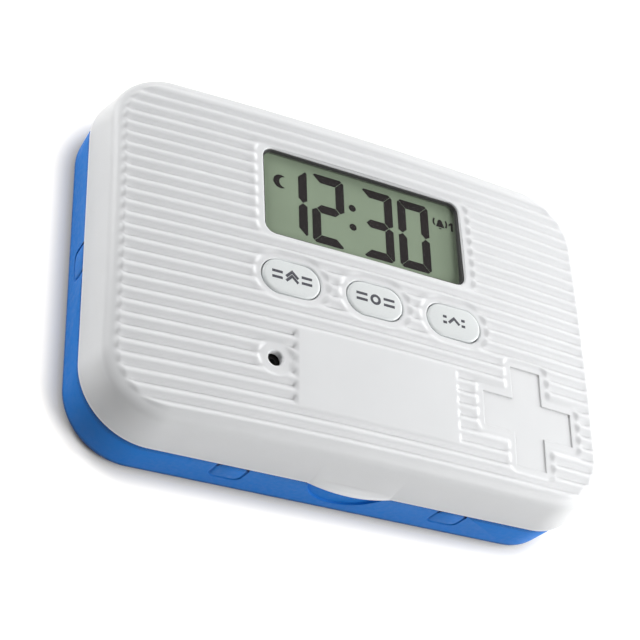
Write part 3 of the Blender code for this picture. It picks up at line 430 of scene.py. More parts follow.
def skirt_rings(rim_points):
    """Levels and insets from the edge of the grid, over the fillet and down the wall to the rim."""
    start = math.asin((LID_LEAN + LID_FILLET - GRID_INSET) / LID_FILLET)
    levels = []
    for i in range(1, FILLET_RINGS + 1):
        angle = start + (math.pi / 2 - start) * i / FILLET_RINGS
        levels.append((LID_LEAN + LID_FILLET * (1 - math.sin(angle)),
                       FACE - LID_FILLET * (1 - math.cos(angle))))
    levels += [(0, RIM + EDGE_ROUND), (EDGE_MIDDLE, RIM + EDGE_MIDDLE), (EDGE_ROUND, RIM)]
    rings = []
    for inset, z in levels:
        ring = []
        for x, y in rim_points:
            centre = Vector((min(max(x, CORNER_RADIUS - HALF_LENGTH), HALF_LENGTH - CORNER_RADIUS),
                             min(max(y, CORNER_RADIUS - HALF_WIDTH), HALF_WIDTH - CORNER_RADIUS)))
            place = centre + (Vector((x, y)) - centre).normalized() * (CORNER_RADIUS - inset)
            ring.append((place.x, place.y, crowned(place.x, place.y, z, FACE)))
        rings.append(ring)
    return rings


def fine_lid_block():
    """The lid as one solid: a fine grid for the face, a fillet, leaning walls and a flat underside."""
    rows = grid_rows()
    columns = round(2 * HALF_LENGTH / GRID_STEP_X)
    shares = np.linspace(-1, 1, columns + 1)
    x = np.outer(half_length_at(rows), shares)
    y = np.repeat(rows[:, None], columns + 1, axis=1)
    points = np.stack([x, y, face_height(x, y)], axis=-1).reshape(-1, 3).tolist()
    width, height = columns + 1, len(rows)
    faces = [(r * width + c, r * width + c + 1, (r + 1) * width + c + 1, (r + 1) * width + c)
             for r in range(height - 1) for c in range(columns)]
    edge = [r * width + columns for r in range(height)]
    edge += [(height - 1) * width + c for c in range(columns - 1, -1, -1)]
    edge += [r * width for r in range(height - 2, -1, -1)]
    edge += list(range(1, columns))
    upper = edge
    for ring in skirt_rings([points[i][:2] for i in edge]):
        lower = list(range(len(points), len(points) + len(ring)))
        points += ring
        for i in range(len(edge)):
            j = (i + 1) % len(edge)
            faces.append((upper[i], lower[i], lower[j], upper[j]))
        upper = lower
    faces.append(tuple(reversed(upper)))
    return mesh_object("lid_shell_fine", points, faces)


def lid_cavity():
    levels = [(LID_WALL, RIM - OVERRUN), (LID_WALL, RIM)]
    for across, up in quarter_turn(FILLET_RINGS - 1):
        levels.append((LID_WALL + LID_LEAN + CEILING_FILLET * up, CEILING - CEILING_FILLET * across))
    rings = []
    for inset, z in levels:
        bent = z > RIM
        rings.append([(x, y, crowned(x, y, z, CEILING) if bent else z) for x, y, _ in body_ring(inset, z)])
    top = rings[-1]
    for share in CEILING_SHARES:
        outline = [(x * share, y * share) for x, y, _ in top]
        rings.append([(x, y, crowned(x, y, CEILING, CEILING)) for x, y in outline])
    return loft("lid_cavity", rings)


def opening_cutter(name, shape, floor):
    """A cutter for an opening of the face, whose mouth widens over a small round."""
    centre_x, centre_y, half_x, half_y, radius = shape
    rings = [[(x, y, floor) for x, y in rounded_outline(*shape)]]
    for across, up in quarter_turn(MOUTH_STEPS):
        sunk, flare = EDGE_ROUND * across, EDGE_ROUND * up
        outline = rounded_outline(centre_x, centre_y, half_x + flare, half_y + flare, radius + flare)
        rings.append([(x, y, FACE - crown_drop(x, y) - sunk) for x, y in outline])
    outline = [(x, y) for x, y, _ in rings[-1]]
    rings.append([(x, y, FACE - crown_drop(x, y) + OVERRUN) for x, y in outline])
    return loft(name, rings)


def plate(name, shape, low, high):
    return loft(name, [[(x, y, z) for x, y in rounded_outline(*shape)] for z in (low, high)])


def cross_cutter():
    """A flat cutter for the recessed cross, whose floor follows the crown."""
    quarter = [(CROSS_REACH, -CROSS_ARM_HALF), (CROSS_REACH, CROSS_ARM_HALF),
               (CROSS_ARM_HALF, CROSS_ARM_HALF)]
    outline = []
    for _ in range(4):
        outline += [(CROSS[0] + x, CROSS[1] + y) for x, y in quarter]
        quarter = [(-y, x) for x, y in quarter]
    bm = bmesh.new()
    bm.faces.new([bm.verts.new((x, y, 0)) for x, y in outline])
    for i in range(-CROSS_CUTS, CROSS_CUTS + 1):
        for axis in (0, 1):
            place = Vector((CROSS[0], CROSS[1], 0))
            place[axis] += i * CROSS_REACH / (CROSS_CUTS + 0.5)
            normal = Vector((1 - axis, axis, 0))
            bmesh.ops.bisect_plane(bm, geom=bm.verts[:] + bm.edges[:] + bm.faces[:], plane_co=place,
                                   plane_no=normal)
    solid = bmesh.ops.extrude_face_region(bm, geom=bm.faces[:])
    raised = [item for item in solid["geom"] if isinstance(item, bmesh.types.BMVert)]
    for vert in raised:
        vert.co.z = 2 * OVERRUN
    for vert in bm.verts:
        vert.co.z += FACE - CROSS_DEPTH - crown_drop(vert.co.x, vert.co.y)
    bmesh.ops.recalc_face_normals(bm, faces=bm.faces)
    mesh = bpy.data.meshes.new("cross_cutter")
    bm.to_mesh(mesh)
    bm.free()
    return link(bpy.data.objects.new("cross_cutter", mesh))


def thumb_lip():
    """A shallow arc in plan, which sweeps down from the wall to its full reach at the rim."""
    wall = -HALF_WIDTH
    rings = []
    for level in range(LIP_LEVELS + 1):
        share = level / LIP_LEVELS
        sweep = 0.5 + 0.5 * math.cos(math.pi * share)
        reach = LIP_TOP_REACH + (LIP_ROOT + LIP_REACH - LIP_TOP_REACH) * sweep
        z = RIM + LIP_THICKNESS * share
        front = wall + LIP_ROOT + LIP_LEAN * share
        radius = (LIP_HALF_WIDTH ** 2 + reach ** 2) / (2 * reach)
        half_angle = math.asin(LIP_HALF_WIDTH / radius)
        ring = []
        for i in range(LIP_STEPS + 1):
            angle = -math.pi / 2 - half_angle + 2 * half_angle * i / LIP_STEPS
            ring.append((radius * math.cos(angle), front - reach + radius + radius * math.sin(angle), z))
        back = wall + LID_WALL / 2
        rings.append(ring + [(LIP_HALF_WIDTH, back, z), (-LIP_HALF_WIDTH, back, z)])
    return loft("thumb_lip", rings)


def hinge_spans(x):
    """Where the two ears stand along X beside the knuckle at x."""
    inner = KNUCKLE_LENGTH / 2 + FIT_GAP
    return (x - inner - EAR_LENGTH, x - inner), (x + inner, x + inner + EAR_LENGTH)


def barrel(name, start, end, radius):
    return rod(name, (start, HINGE[1], HINGE[2]), (end, HINGE[1], HINGE[2]), radius)


def add_lid_hinge(lid):
    for side, x in (("left", -HINGE_X), ("right", HINGE_X)):
        for index, (start, end) in enumerate(hinge_spans(x)):
            cut(lid, barrel(f"clearance_{side}_{index}", start - FIT_GAP, end + FIT_GAP,
                            KNUCKLE_RADIUS + FIT_GAP))
        start, end = x - KNUCKLE_LENGTH / 2, x + KNUCKLE_LENGTH / 2
        join(lid, block("web_" + side, (start, HALF_WIDTH - LID_WALL / 2, RIM),
                        (end, HINGE[1], RIM + KNUCKLE_RADIUS)))
        join(lid, barrel("knuckle_" + side, start, end, KNUCKLE_RADIUS))
        cut(lid, barrel("bore_" + side, x - KNUCKLE_LENGTH, x + KNUCKLE_LENGTH, PIN_RADIUS + FIT_GAP))


def screw_places(kind):
    """The middle of each screw, and its lowest and highest level."""
    places = []
    for node in frame["nodes"]:
        if node.startswith(kind):
            low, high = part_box(node)
            places.append(((low.x + high.x) / 2, (low.y + high.y) / 2, low.z, high.z))
    return places


def add_bosses(lid):
    for kind, rise in (("cover_screw_", COVER_BOSS_RISE), ("board_screw_", BOARD_BOSS_RISE)):
        for index, (x, y, low, high) in enumerate(screw_places(kind)):
            top = CEILING - crown_drop(x, y) + BOSS_SUNK
            join(lid, rod(f"boss_{kind}{index}", (x, y, low + rise), (x, y, top), BOSS_RADIUS))
            cut(lid, rod(f"pilot_{kind}{index}", (x, y, low), (x, y, high + PILOT_PAST), PILOT_RADIUS))


def build_lid():
    lid = fine_lid_block()
    cut(lid, lid_cavity())
    add_bosses(lid)
    join(lid, thumb_lip())
    add_lid_hinge(lid)
    inside = RIM + 3 * OVERRUN
    cut(lid, opening_cutter("window", WINDOW, inside))
    window_x, window_y, half_x, half_y, _ = WINDOW
    pocket = (window_x, window_y, half_x + PANEL_MARGIN, half_y + PANEL_MARGIN, PANEL_CORNER)
    cut(lid, plate("panel_pocket", pocket, inside, PANEL_TOP + PANEL_GAP))
    half = BUTTON_HALF_WIDTH + BUTTON_GAP
    for name, place in BUTTONS.items():
        opening = (*place, BUTTON_HALF_LENGTH + BUTTON_GAP, half, half)
        cut(lid, opening_cutter("opening_" + name, opening, inside))
    cut(lid, opening_cutter("sound_hole", (*SOUND, SOUND_RADIUS, SOUND_RADIUS, SOUND_RADIUS), inside))
    cut(lid, cross_cutter())
    smooth(lid)
    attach(lid, "lid")
    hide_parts("lid_shell")
    return lid


def build_gasket():
    """The black ring that lines the window: a thin lip above, thicker towards the lens."""
    window_x, window_y, half_x, half_y, corner = WINDOW
    top = FACE - GASKET_SUNK
    inner = PANEL_GAP + GASKET_WALL
    rings = []
    for inset, level in ((inner, GASKET_LOW), (inner, top - GASKET_FLARE), (PANEL_GAP + GASKET_LIP, top),
                         (PANEL_GAP, top), (PANEL_GAP, GASKET_LOW)):
        bent = level != GASKET_LOW
        outline = rounded_outline(window_x, window_y, half_x - inset, half_y - inset, corner - inset)
        rings.append([(x, y, level - crown_drop(x, y) if bent else level) for x, y in outline])
    count = len(rings[0])
    faces = []
    for row in range(len(rings)):
        this, following = row * count, (row + 1) % len(rings) * count
        for i in range(count):
            j = (i + 1) % count
            faces.append((this + i, following + i, following + j, this + j))
    gasket = mesh_object("window_gasket_fine", [point for ring in rings for point in ring], faces)
    smooth(gasket)
    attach(gasket, "lid")
    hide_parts("window_gasket")
    return gasket


# Base

def base_block():
    rings = [body_ring(BASE_INSET + BASE_LEAN + BASE_ROUND * across, BASE_ROUND * up)
             for across, up in quarter_turn(FILLET_RINGS - 1)]
    rings += [body_ring(BASE_INSET, BASE_TOP - EDGE_ROUND),
              body_ring(BASE_INSET + EDGE_MIDDLE, BASE_TOP - EDGE_MIDDLE),
              body_ring(BASE_INSET + EDGE_ROUND, BASE_TOP),
              body_ring(TONGUE_INSET, BASE_TOP),
              body_ring(TONGUE_INSET + TONGUE_LEAN, TONGUE_TOP)]
    return loft("base_shell_fine", rings)


def tray_hollow():
    rings = [body_ring(TRAY_INSET + TRAY_ROUND * across, BASE_FLOOR + TRAY_ROUND * up)
             for across, up in quarter_turn(FILLET_RINGS - 1)]
    rings.append(body_ring(TRAY_INSET, TONGUE_TOP + OVERRUN))
    return loft("tray_hollow", rings)


# Points in the base's walls: how far along, how deep into the wall, and the height

def front_wall(along, depth, z):
    return along, -HALF_WIDTH + BASE_INSET + depth, z


def left_wall(along, depth, z):
    return -HALF_LENGTH + BASE_INSET + depth, along, z


def right_wall(along, depth, z):
    return HALF_LENGTH - BASE_INSET - depth, along, z


def wall_pad(name, wall, along, levels):
    """A rounded rectangle that stands in a wall, at depths each given with how far it is drawn in."""
    middle = BASE_TOP - PAD_HEIGHT / 2
    rings = []
    for depth, inset in levels:
        outline = rounded_outline(along, middle, PAD_WIDTH / 2 - inset, PAD_HEIGHT / 2 - inset,
                                  PAD_CORNER - inset, PAD_STEPS)
        rings.append([wall(x, depth + BASE_LEAN * (1 - z / BASE_TOP), z) for x, z in outline])
    pad = loft(name, rings)
    outward(pad)
    return pad


def add_pads(base):
    groove = ((-OVERRUN, -PAD_GROOVE), (PAD_GROOVE_DEPTH, -PAD_GROOVE))
    pad = ((0, EDGE_ROUND), (EDGE_ROUND / 3, EDGE_ROUND / 3), (EDGE_ROUND, 0), (LID_WALL / 2, 0))
    for name, wall, along in (("left", front_wall, -PAD_X), ("right", front_wall, PAD_X),
                              ("left_end", left_wall, END_PAD_Y), ("right_end", right_wall, END_PAD_Y)):
        cut(base, wall_pad("pad_groove_" + name, wall, along, groove))
        join(base, wall_pad("pad_" + name, wall, along, pad))


def add_beads(base):
    y = -HALF_WIDTH + TONGUE_INSET + BEAD_RADIUS - BEAD_PROUD
    z = BASE_TOP + BEAD_RISE
    for side, x in (("left", -PAD_X), ("right", PAD_X)):
        start, end = x - BEAD_LENGTH / 2, x + BEAD_LENGTH / 2
        join(base, rod("bead_" + side, (start, y, z), (end, y, z), BEAD_RADIUS))


def add_base_hinge(base):
    for side, x in (("left", -HINGE_X), ("right", HINGE_X)):
        reach = KNUCKLE_LENGTH / 2 + FIT_GAP
        cut(base, barrel("clearance_" + side, x - reach, x + reach, KNUCKLE_RADIUS + FIT_GAP))
        for index, (start, end) in enumerate(hinge_spans(x)):
            join(base, block(f"ear_web_{side}_{index}",
                             (start, HALF_WIDTH - BASE_INSET - LID_WALL / 2, RIM - KNUCKLE_RADIUS),
                             (end, HINGE[1], BASE_TOP)))
            join(base, barrel(f"ear_{side}_{index}", start, end, KNUCKLE_RADIUS))
        reach += EAR_LENGTH + OVERRUN
        cut(base, barrel("base_bore_" + side, x - reach, x + reach, PIN_RADIUS + FIT_GAP))


def build_base():
    base = base_block()
    cut(base, tray_hollow())
    add_pads(base)
    add_beads(base)
    z = RIM + SCOOP_RISE
    depth = -HALF_WIDTH + BASE_INSET + SCOOP_DEPTH
    cut(base, rod("scoop", (0, -HALF_WIDTH - OVERRUN, z), (0, depth, z), SCOOP_RADIUS, 2 * SIDES))
    add_base_hinge(base)
    half = DIVIDER_HALF + FIT_GAP
    reach_x = HALF_LENGTH - TRAY_INSET + DIVIDER_SLOT
    reach_y = HALF_WIDTH - TRAY_INSET + DIVIDER_SLOT
    high = TONGUE_TOP + OVERRUN
    cut(base, block("slot_long", (-reach_x, -half, BASE_FLOOR), (reach_x, half, high)))
    cut(base, block("slot_across", (-half, -reach_y, BASE_FLOOR), (half, reach_y, high)))
    smooth(base)
    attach(base, "base")
    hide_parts("base_shell")
    return base


# Button caps

def build_cap(name):
    x, y = BUTTONS[name]
    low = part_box("button_" + name)[0]
    top = FACE - crown_drop(x, y) + BUTTON_PROUD
    stem = low.z + CAP_STEM_RISE
    flange = BUTTON_HALF_WIDTH + CAP_FLANGE
    straight = BUTTON_HALF_LENGTH - BUTTON_HALF_WIDTH
    levels = [(low.z, CAP_STEM_RADIUS, 0), (stem, CAP_STEM_RADIUS, 0), (stem, flange, straight),
              (stem + CAP_FLANGE_THICKNESS, flange, straight),
              (stem + CAP_FLANGE_THICKNESS, BUTTON_HALF_WIDTH, straight)]
    for across, up in quarter_turn(CAP_EDGE_STEPS):
        levels.append((top - CAP_EDGE_RISE * across, BUTTON_HALF_WIDTH - CAP_EDGE * up, straight))
    rings = []
    for z, radius, straight_half in levels:
        outline = rounded_outline(x, y, straight_half + radius, radius, radius)
        rings.append([(px, py, z) for px, py in outline])
    cap = loft("cap_" + name, rings)
    smooth(cap)
    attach(cap, name + "_button")
    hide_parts("button_" + name)
    return cap


# Flat printed shapes

def print_object(name, outlines, low, thickness, body):
    """Flat shapes, each a closed outline, as thin closed solids in one object."""
    points, faces = [], []
    for outline in outlines:
        start = len(points)
        count = len(outline)
        points += [(x, y, low) for x, y in outline] + [(x, y, low + thickness) for x, y in outline]
        faces.append(tuple(start + i for i in reversed(range(count))))
        faces.append(tuple(start + count + i for i in range(count)))
        for i in range(count):
            j = (i + 1) % count
            faces.append((start + i, start + j, start + count + j, start + count + i))
    item = mesh_object(name, points, faces)
    bm = bmesh.new()
    bm.from_mesh(item.data)
    bmesh.ops.triangulate(bm, faces=[face for face in bm.faces if len(face.verts) > 4])
    bmesh.ops.recalc_face_normals(bm, faces=bm.faces)
    bm.to_mesh(item.data)
    bm.free()
    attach(item, body)
    return item


def thick_line(path, half):
    """The outline of an open line of even width with square ends and mitred bends."""
    points = [Vector(place) for place in path]
    runs = [(after - before).normalized() for before, after in zip(points, points[1:])]
    sides = [Vector((-run.y, run.x)) for run in runs]
    offsets = [sides[0]]
    for before, after in zip(sides, sides[1:]):
        middle = (before + after).normalized()
        offsets.append(middle / max(middle.dot(after), MITRE_LEAST))
    offsets.append(sides[-1])
    left = [point + offset * half for point, offset in zip(points, offsets)]
    right = [point - offset * half for point, offset in zip(points, offsets)]
    return [tuple(point) for point in right] + [tuple(point) for point in reversed(left)]


def arc_path(centre_x, centre_y, radius, start, end, steps=16):
    angles = [math.radians(start + (end - start) * i / steps) for i in range(steps + 1)]
    return [(centre_x + radius * math.cos(a), centre_y + radius * math.sin(a)) for a in angles]


SEGMENTS = {"0": "abcdef", "1": "bc", "2": "abged", "3": "abgcd"}


def digit(figure, left, low=DIGIT_LOW, height=DIGIT_HEIGHT):
    """A seven-segment figure, with mitred joints and cut outer corners."""
    right, high = left + DIGIT_WIDTH, low + height
    stroke, gap = DIGIT_STROKE, DIGIT_GAP
    middle = (low + high) / 2
    half = stroke / 2
    chamfer = stroke * 0.35
    slit = gap / 2

    def across(y, side):
        """The top or bottom bar: its outer edge at y, its inner edge towards the middle."""
        inner = y - side * stroke
        return [(left + chamfer + slit, y), (right - chamfer - slit, y),
                (right - chamfer / 2 - slit, y - side * chamfer / 2), (right - stroke - slit, inner),
                (left + stroke + slit, inner), (left + chamfer / 2 + slit, y - side * chamfer / 2)]

    def upright(x, side, y_end, end_side):
        """A bar on the outer side x, from the corner at y_end to the middle of the figure."""
        inner = x - side * stroke
        near = middle + end_side * slit
        return [(x, y_end - end_side * (chamfer + slit)),
                (x - side * chamfer / 2, y_end - end_side * (chamfer / 2 + slit)),
                (inner, y_end - end_side * (stroke + slit)), (inner, near + end_side * half),
                (x - side * half, near), (x, near + end_side * half * 0.6)]

    shapes = {
        "a": across(high, 1),
        "d": across(low, -1),
        "b": upright(right, 1, high, 1),
        "c": upright(right, 1, low, -1),
        "f": upright(left, -1, high, 1),
        "e": upright(left, -1, low, -1),
        "g": [(left + half + gap, middle), (left + stroke + gap, middle + half),
              (right - stroke - gap, middle + half), (right - half - gap, middle),
              (right - stroke - gap, middle - half), (left + stroke + gap, middle - half)],
    }
    return [shapes[letter] for letter in SEGMENTS[figure]]


def bell(x, y, height):
    """A small bell with a clapper and a wave on each side."""
    half = height * 0.4
    dome = [(x + half * 0.6 * math.cos(a), y + height * 0.1 + half * 0.8 * math.sin(a))
            for a in (math.pi * i / 10 for i in range(11))]
    foot = y - height * 0.3
    body = [(x + half, foot)] + dome + [(x - half, foot)]
    clapper = arc_path(x, foot - height * 0.04, height * 0.16, 200, 340, 6)
    waves = [thick_line(arc_path(x, y + height * 0.1, height * 0.62, side - 32, side + 32, 6), height * 0.07)
             for side in (0, 180)]
    return [body, clapper] + waves


def numeral_one(right, low, height, stroke):
    """A plain 1 with a short flag, as an upright bar and a slanted one."""
    left = right - stroke
    high = low + height
    upright = [(left, low), (right, low), (right, high), (left, high)]
    flag = [(left, high), (left - stroke, high - stroke), (left - stroke, high - 2 * stroke),
            (left, high - stroke)]
    return [upright, flag]


def crescent(x, y, radius):
    outer = arc_path(x, y, radius, 60, 300, 18)
    inner = arc_path(x + radius * 0.6, y, radius * 0.8, 265, 95, 14)
    return [outer + inner]


def build_display_figures():
    shapes = digit("1", ONE_LEFT, DIGIT_LOW + ONE_SHORTER, DIGIT_HEIGHT - ONE_SHORTER)
    for figure, left in DIGIT_LEFTS:
        shapes += digit(figure, left)
    for y in COLON_HEIGHTS:
        shapes.append(rounded_outline(COLON_X, y, COLON_RADIUS, COLON_RADIUS, COLON_RADIUS, 6))
    shapes += bell(*BELL) + numeral_one(*SMALL_ONE) + crescent(*CRESCENT)
    return print_object("display_figures", shapes, PANEL_TOP + FIGURE_LIFT, FIGURE_THICKNESS, "lid")


def ring_outlines(x, y, radius, half):
    """A ring as two half rings."""
    return [thick_line(arc_path(x, y, radius, start, start + 180), half) for start in (0, 180)]


def pictogram(name, x, y):
    """Generic marks: bars beside chevrons or a ring."""
    shapes = []

    def bars(from_x, to_x):
        for offset in (0.6 * MM, -0.6 * MM):
            shapes.append(thick_line([(x + from_x, y + offset), (x + to_x, y + offset)], MARK_HALF))

    def chevron(offset, reach):
        shapes.append(thick_line([(x - reach, y + offset - 0.55 * reach), (x, y + offset + 0.45 * reach),
                                  (x + reach, y + offset - 0.55 * reach)], MARK_HALF))

    if name == "minute":
        chevron(0.1 * MM, 1.15 * MM)
        bars(-2.4 * MM, -1.6 * MM)
        bars(1.6 * MM, 2.4 * MM)
    elif name == "hour":
        chevron(0.65 * MM, 1.2 * MM)
        chevron(-0.25 * MM, 1.2 * MM)
        bars(-4.0 * MM, -1.9 * MM)
        bars(1.9 * MM, 4.0 * MM)
    else:
        shapes += ring_outlines(x, y, MARK_REACH - MARK_HALF, MARK_HALF)
        bars(-4.0 * MM, -1.7 * MM)
        bars(1.7 * MM, 4.0 * MM)
    return shapes


def build_button_prints():
    prints = []
    for name, (x, y) in BUTTONS.items():
        low = FACE - crown_drop(x, y) + BUTTON_PROUD + MARK_LIFT
        prints.append(print_object("print_" + name, pictogram(name, x, y + MARK_OFFSET), low, MARK_THICKNESS,
                                   name + "_button"))
    return prints


# Materials

class Nodes:
    """A material's node tree, with short calls for the nodes used here."""

    def __init__(self, name):
        self.material = bpy.data.materials.new(name)
        self.material.use_nodes = True
        self.tree = self.material.node_tree
        self.shader = self.tree.nodes["Principled BSDF"]
        self.place = self.add("ShaderNodeTexCoord").outputs["Object"]

    def add(self, kind, **settings):
        node = self.tree.nodes.new(kind)
        for key, value in settings.items():
            setattr(node, key, value)
        return node

    def connect(self, output, target):
        self.tree.links.new(output, target)

    def noise(self, size, detail=3.0, stretch=(1, 1, 1)):
        """Noise with features of about the given size in metres."""
        mapping = self.add("ShaderNodeMapping")
        mapping.inputs["Scale"].default_value = stretch
        self.connect(self.place, mapping.inputs["Vector"])
        node = self.add("ShaderNodeTexNoise")
        node.inputs["Scale"].default_value = 1.0 / size
        node.inputs["Detail"].default_value = detail
        self.connect(mapping.outputs["Vector"], node.inputs["Vector"])
        return node.outputs["Fac"]

    def span(self, value, low, high, from_low=0.3, from_high=0.7):
        node = self.add("ShaderNodeMapRange")
        node.inputs["From Min"].default_value = from_low
        node.inputs["From Max"].default_value = from_high
        node.inputs["To Min"].default_value = low
        node.inputs["To Max"].default_value = high
        self.connect(value, node.inputs["Value"])
        return node.outputs["Result"]

    def mix(self, share, first, second):
        node = self.add("ShaderNodeMix", data_type="RGBA")
        self.connect(share, node.inputs["Factor"])
        for name, value in (("A", first), ("B", second)):
            socket = [s for s in node.inputs if s.name == name and s.type == "RGBA"][0]
            if isinstance(value, tuple):
                socket.default_value = (*value, 1.0)
            else:
                self.connect(value, socket)
        return [s for s in node.outputs if s.type == "RGBA"][0]

    def edges(self, radius):
        """Nearly 1 along edges and 0 on open faces, and the rounded normal."""
        bevel = self.add("ShaderNodeBevel", samples=4)
        bevel.inputs["Radius"].default_value = radius
        geometry = self.add("ShaderNodeNewGeometry")
        dot = self.add("ShaderNodeVectorMath", operation="DOT_PRODUCT")
        self.connect(bevel.outputs["Normal"], dot.inputs[0])
        self.connect(geometry.outputs["Normal"], dot.inputs[1])
        return self.span(dot.outputs["Value"], 1.0, 0.0, 0.75, 0.98), bevel.outputs["Normal"]

    def height_band(self, low, high):
        """0 below the height low and 1 above the height high."""
        parts = self.add("ShaderNodeSeparateXYZ")
        self.connect(self.place, parts.inputs["Vector"])
        return self.span(parts.outputs["Z"], 0.0, 1.0, low, high)

    def crevice_shade(self, reach, open_at=1.0, closed_at=0.5, local=True):
        """Share of painted shade: 0 on open surfaces and towards 1 deep in grooves, or under other pieces,
        within the reach.
        """
        node = self.add("ShaderNodeAmbientOcclusion", samples=6, only_local=local)
        node.inputs["Distance"].default_value = reach
        return self.span(node.outputs["AO"], 1.0, 0.0, closed_at, open_at)

    def product(self, first, second):
        node = self.add("ShaderNodeMath", operation="MULTIPLY")
        self.connect(first, node.inputs[0])
        self.connect(second, node.inputs[1])
        return node.outputs["Value"]

    def tint(self, share, colour):
        """Mixes a colour over the base colour that the surface has so far."""
        target = self.shader.inputs["Base Color"]
        self.connect(self.mix(share, target.links[0].from_socket, colour), target)

    def bump(self, height, distance, normal=None):
        node = self.add("ShaderNodeBump")
        node.inputs["Distance"].default_value = distance
        self.connect(height, node.inputs["Height"])
        if normal:
            self.connect(normal, node.inputs["Normal"])
        self.connect(node.outputs["Normal"], self.shader.inputs["Normal"])

    def set(self, name, value):
        self.shader.inputs[name].default_value = value


def darker(colour, share):
    return tuple(channel * share for channel in colour)


def lighter(colour, share):
    return tuple(channel + (1 - channel) * share for channel in colour)


def surface(name, colour, roughness, grain, depth, shade=0.93, wear=0.12):
    """A moulded or milled surface: soft colour variation, grain, and paler rubbed edges."""
    nodes = Nodes(name)
    cloud = nodes.span(nodes.noise(9 * MM), 0.0, 1.0)
    base = nodes.mix(cloud, darker(colour, shade), colour)
    rubbed, normal = nodes.edges(0.3 * MM)
    worn = nodes.product(rubbed, nodes.span(nodes.noise(1.5 * MM), 0.2, 1.0))
    nodes.connect(nodes.mix(worn, base, lighter(colour, wear)), nodes.shader.inputs["Base Color"])
    fine = nodes.noise(grain, 4.0)
    rough = nodes.span(fine, roughness * 0.85, min(roughness * 1.2, 1.0))
    nodes.connect(rough, nodes.shader.inputs["Roughness"])
    nodes.bump(fine, depth, normal)
    return nodes


def dress(nodes, *objects):
    for item in objects:
        item.data.materials.clear()
        item.data.materials.append(nodes.material)


def cad(*names):
    return [frame["nodes"][name] for name in names]


def cad_group(start):
    return [item for name, item in frame["nodes"].items() if name.startswith(start)]


def lid_material():
    """White moulded ABS with a faint spark-eroded grain, painted shade in its crevices and a painted
    highlight along the rim.
    """
    nodes = surface("lid_white", (0.82, 0.83, 0.84), 0.42, 0.35 * MM, 0.006 * MM, shade=0.975, wear=0.3)
    nodes.set("Specular IOR Level", 0.4)
    # Painted shade: the rib valleys and other crevices are darkened by ambient occlusion.
    nodes.tint(nodes.crevice_shade(1.2 * MM), (0.74, 0.74, 0.75))
    # Painted highlight: a pale bluish band along the lid's lowest edge, just above the rim.
    nodes.tint(nodes.height_band(RIM + 0.7 * MM, RIM + 0.2 * MM), (0.97, 0.97, 1.0))
    return nodes


def cap_material():
    return surface("cap_white", (0.79, 0.82, 0.82), 0.3, 0.25 * MM, 0.003 * MM, shade=0.98, wear=0.3)


def blue_plastic(name):
    nodes = surface(name, (0.009, 0.205, 0.69), 0.5, 0.9 * MM, 0.0015 * MM, shade=0.93, wear=0.04)
    nodes.set("Specular IOR Level", 0.17)
    return nodes


def base_material():
    """Blue plastic, with painted shade where the lid's rim covers the wall and along the bottom edge."""
    nodes = blue_plastic("base_blue")
    shade_under_rim = nodes.crevice_shade(2.0 * MM, 0.995, 0.94, local=False)
    wall_top = nodes.product(nodes.height_band(BASE_TOP - 1.8 * MM, BASE_TOP - 1.2 * MM),
                             nodes.height_band(BASE_TOP + 0.15 * MM, BASE_TOP + 0.05 * MM))
    # Painted shadow: dark navy at the top of the wall, where the lid's rim hangs over it.
    nodes.tint(nodes.product(wall_top, shade_under_rim), (0.004, 0.012, 0.07))
    # Painted shade: dark navy along the bottom round, where it turns down to the floor.
    nodes.tint(nodes.height_band(BASE_ROUND + 0.4 * MM, BASE_ROUND / 2), (0.004, 0.025, 0.13))
    return nodes


def screen_material():
    """Reflective liquid-crystal glass, grey green and nearly matt."""
    nodes = surface("screen_glass", (0.262, 0.33, 0.232), 0.6, 0.06 * MM, 0.0005 * MM, shade=0.95, wear=0.0)
    nodes.set("Specular IOR Level", 0.1)
    return nodes


def figure_material():
    nodes = surface("figure_ink", (0.006, 0.003, 0.003), 0.7, 0.1 * MM, 0.001 * MM, shade=0.8, wear=0.0)
    nodes.set("Specular IOR Level", 0.05)
    return nodes


def print_material():
    return surface("print_ink", (0.05, 0.051, 0.066), 0.55, 0.12 * MM, 0.001 * MM, shade=0.8, wear=0.02)


def lens_material():
    nodes = Nodes("lens_clear")
    haze = nodes.noise(6 * MM)
    nodes.connect(nodes.span(haze, 0.02, 0.05), nodes.shader.inputs["Roughness"])
    nodes.connect(nodes.mix(nodes.span(haze, 0.0, 1.0), (0.97, 0.98, 0.97), (1.0, 1.0, 1.0)),
                  nodes.shader.inputs["Base Color"])
    nodes.bump(haze, 0.002 * MM)
    nodes.set("Alpha", 0.012)
    return nodes


def gasket_material():
    """Black rubber, painted in the dimmed screen colour where the clear lens covers it, as a painted
    reflection of the screen.
    """
    nodes = surface("gasket_black", (0.008, 0.008, 0.008), 0.6, 0.2 * MM, 0.004 * MM, wear=0.03)
    # Painted reflection of the screen, from the panel up to just below the lens top.
    nodes.tint(nodes.height_band(LENS_TOP - 0.2 * MM, PANEL_TOP), (0.15, 0.19, 0.13))
    return nodes


def board_material():
    """Green solder mask with pale copper tracks seen through it."""
    nodes = Nodes("board_green")
    brick = nodes.add("ShaderNodeTexBrick", offset=0.5)
    brick.inputs["Scale"].default_value = 1.0 / (5.0 * MM)
    brick.inputs["Mortar Size"].default_value = 0.06
    brick.inputs["Color1"].default_value = (0, 0, 0, 1)
    brick.inputs["Color2"].default_value = (0, 0, 0, 1)
    brick.inputs["Mortar"].default_value = (1, 1, 1, 1)
    nodes.connect(nodes.place, brick.inputs["Vector"])
    cloud = nodes.span(nodes.noise(7 * MM), 0.0, 1.0)
    mask = nodes.mix(cloud, (0.010, 0.105, 0.035), (0.016, 0.15, 0.05))
    tracks = nodes.mix(brick.outputs["Color"], mask, (0.045, 0.26, 0.10))
    nodes.connect(tracks, nodes.shader.inputs["Base Color"])
    nodes.connect(nodes.span(nodes.noise(0.6 * MM), 0.3, 0.5), nodes.shader.inputs["Roughness"])
    nodes.bump(brick.outputs["Color"], 0.03 * MM)
    return nodes


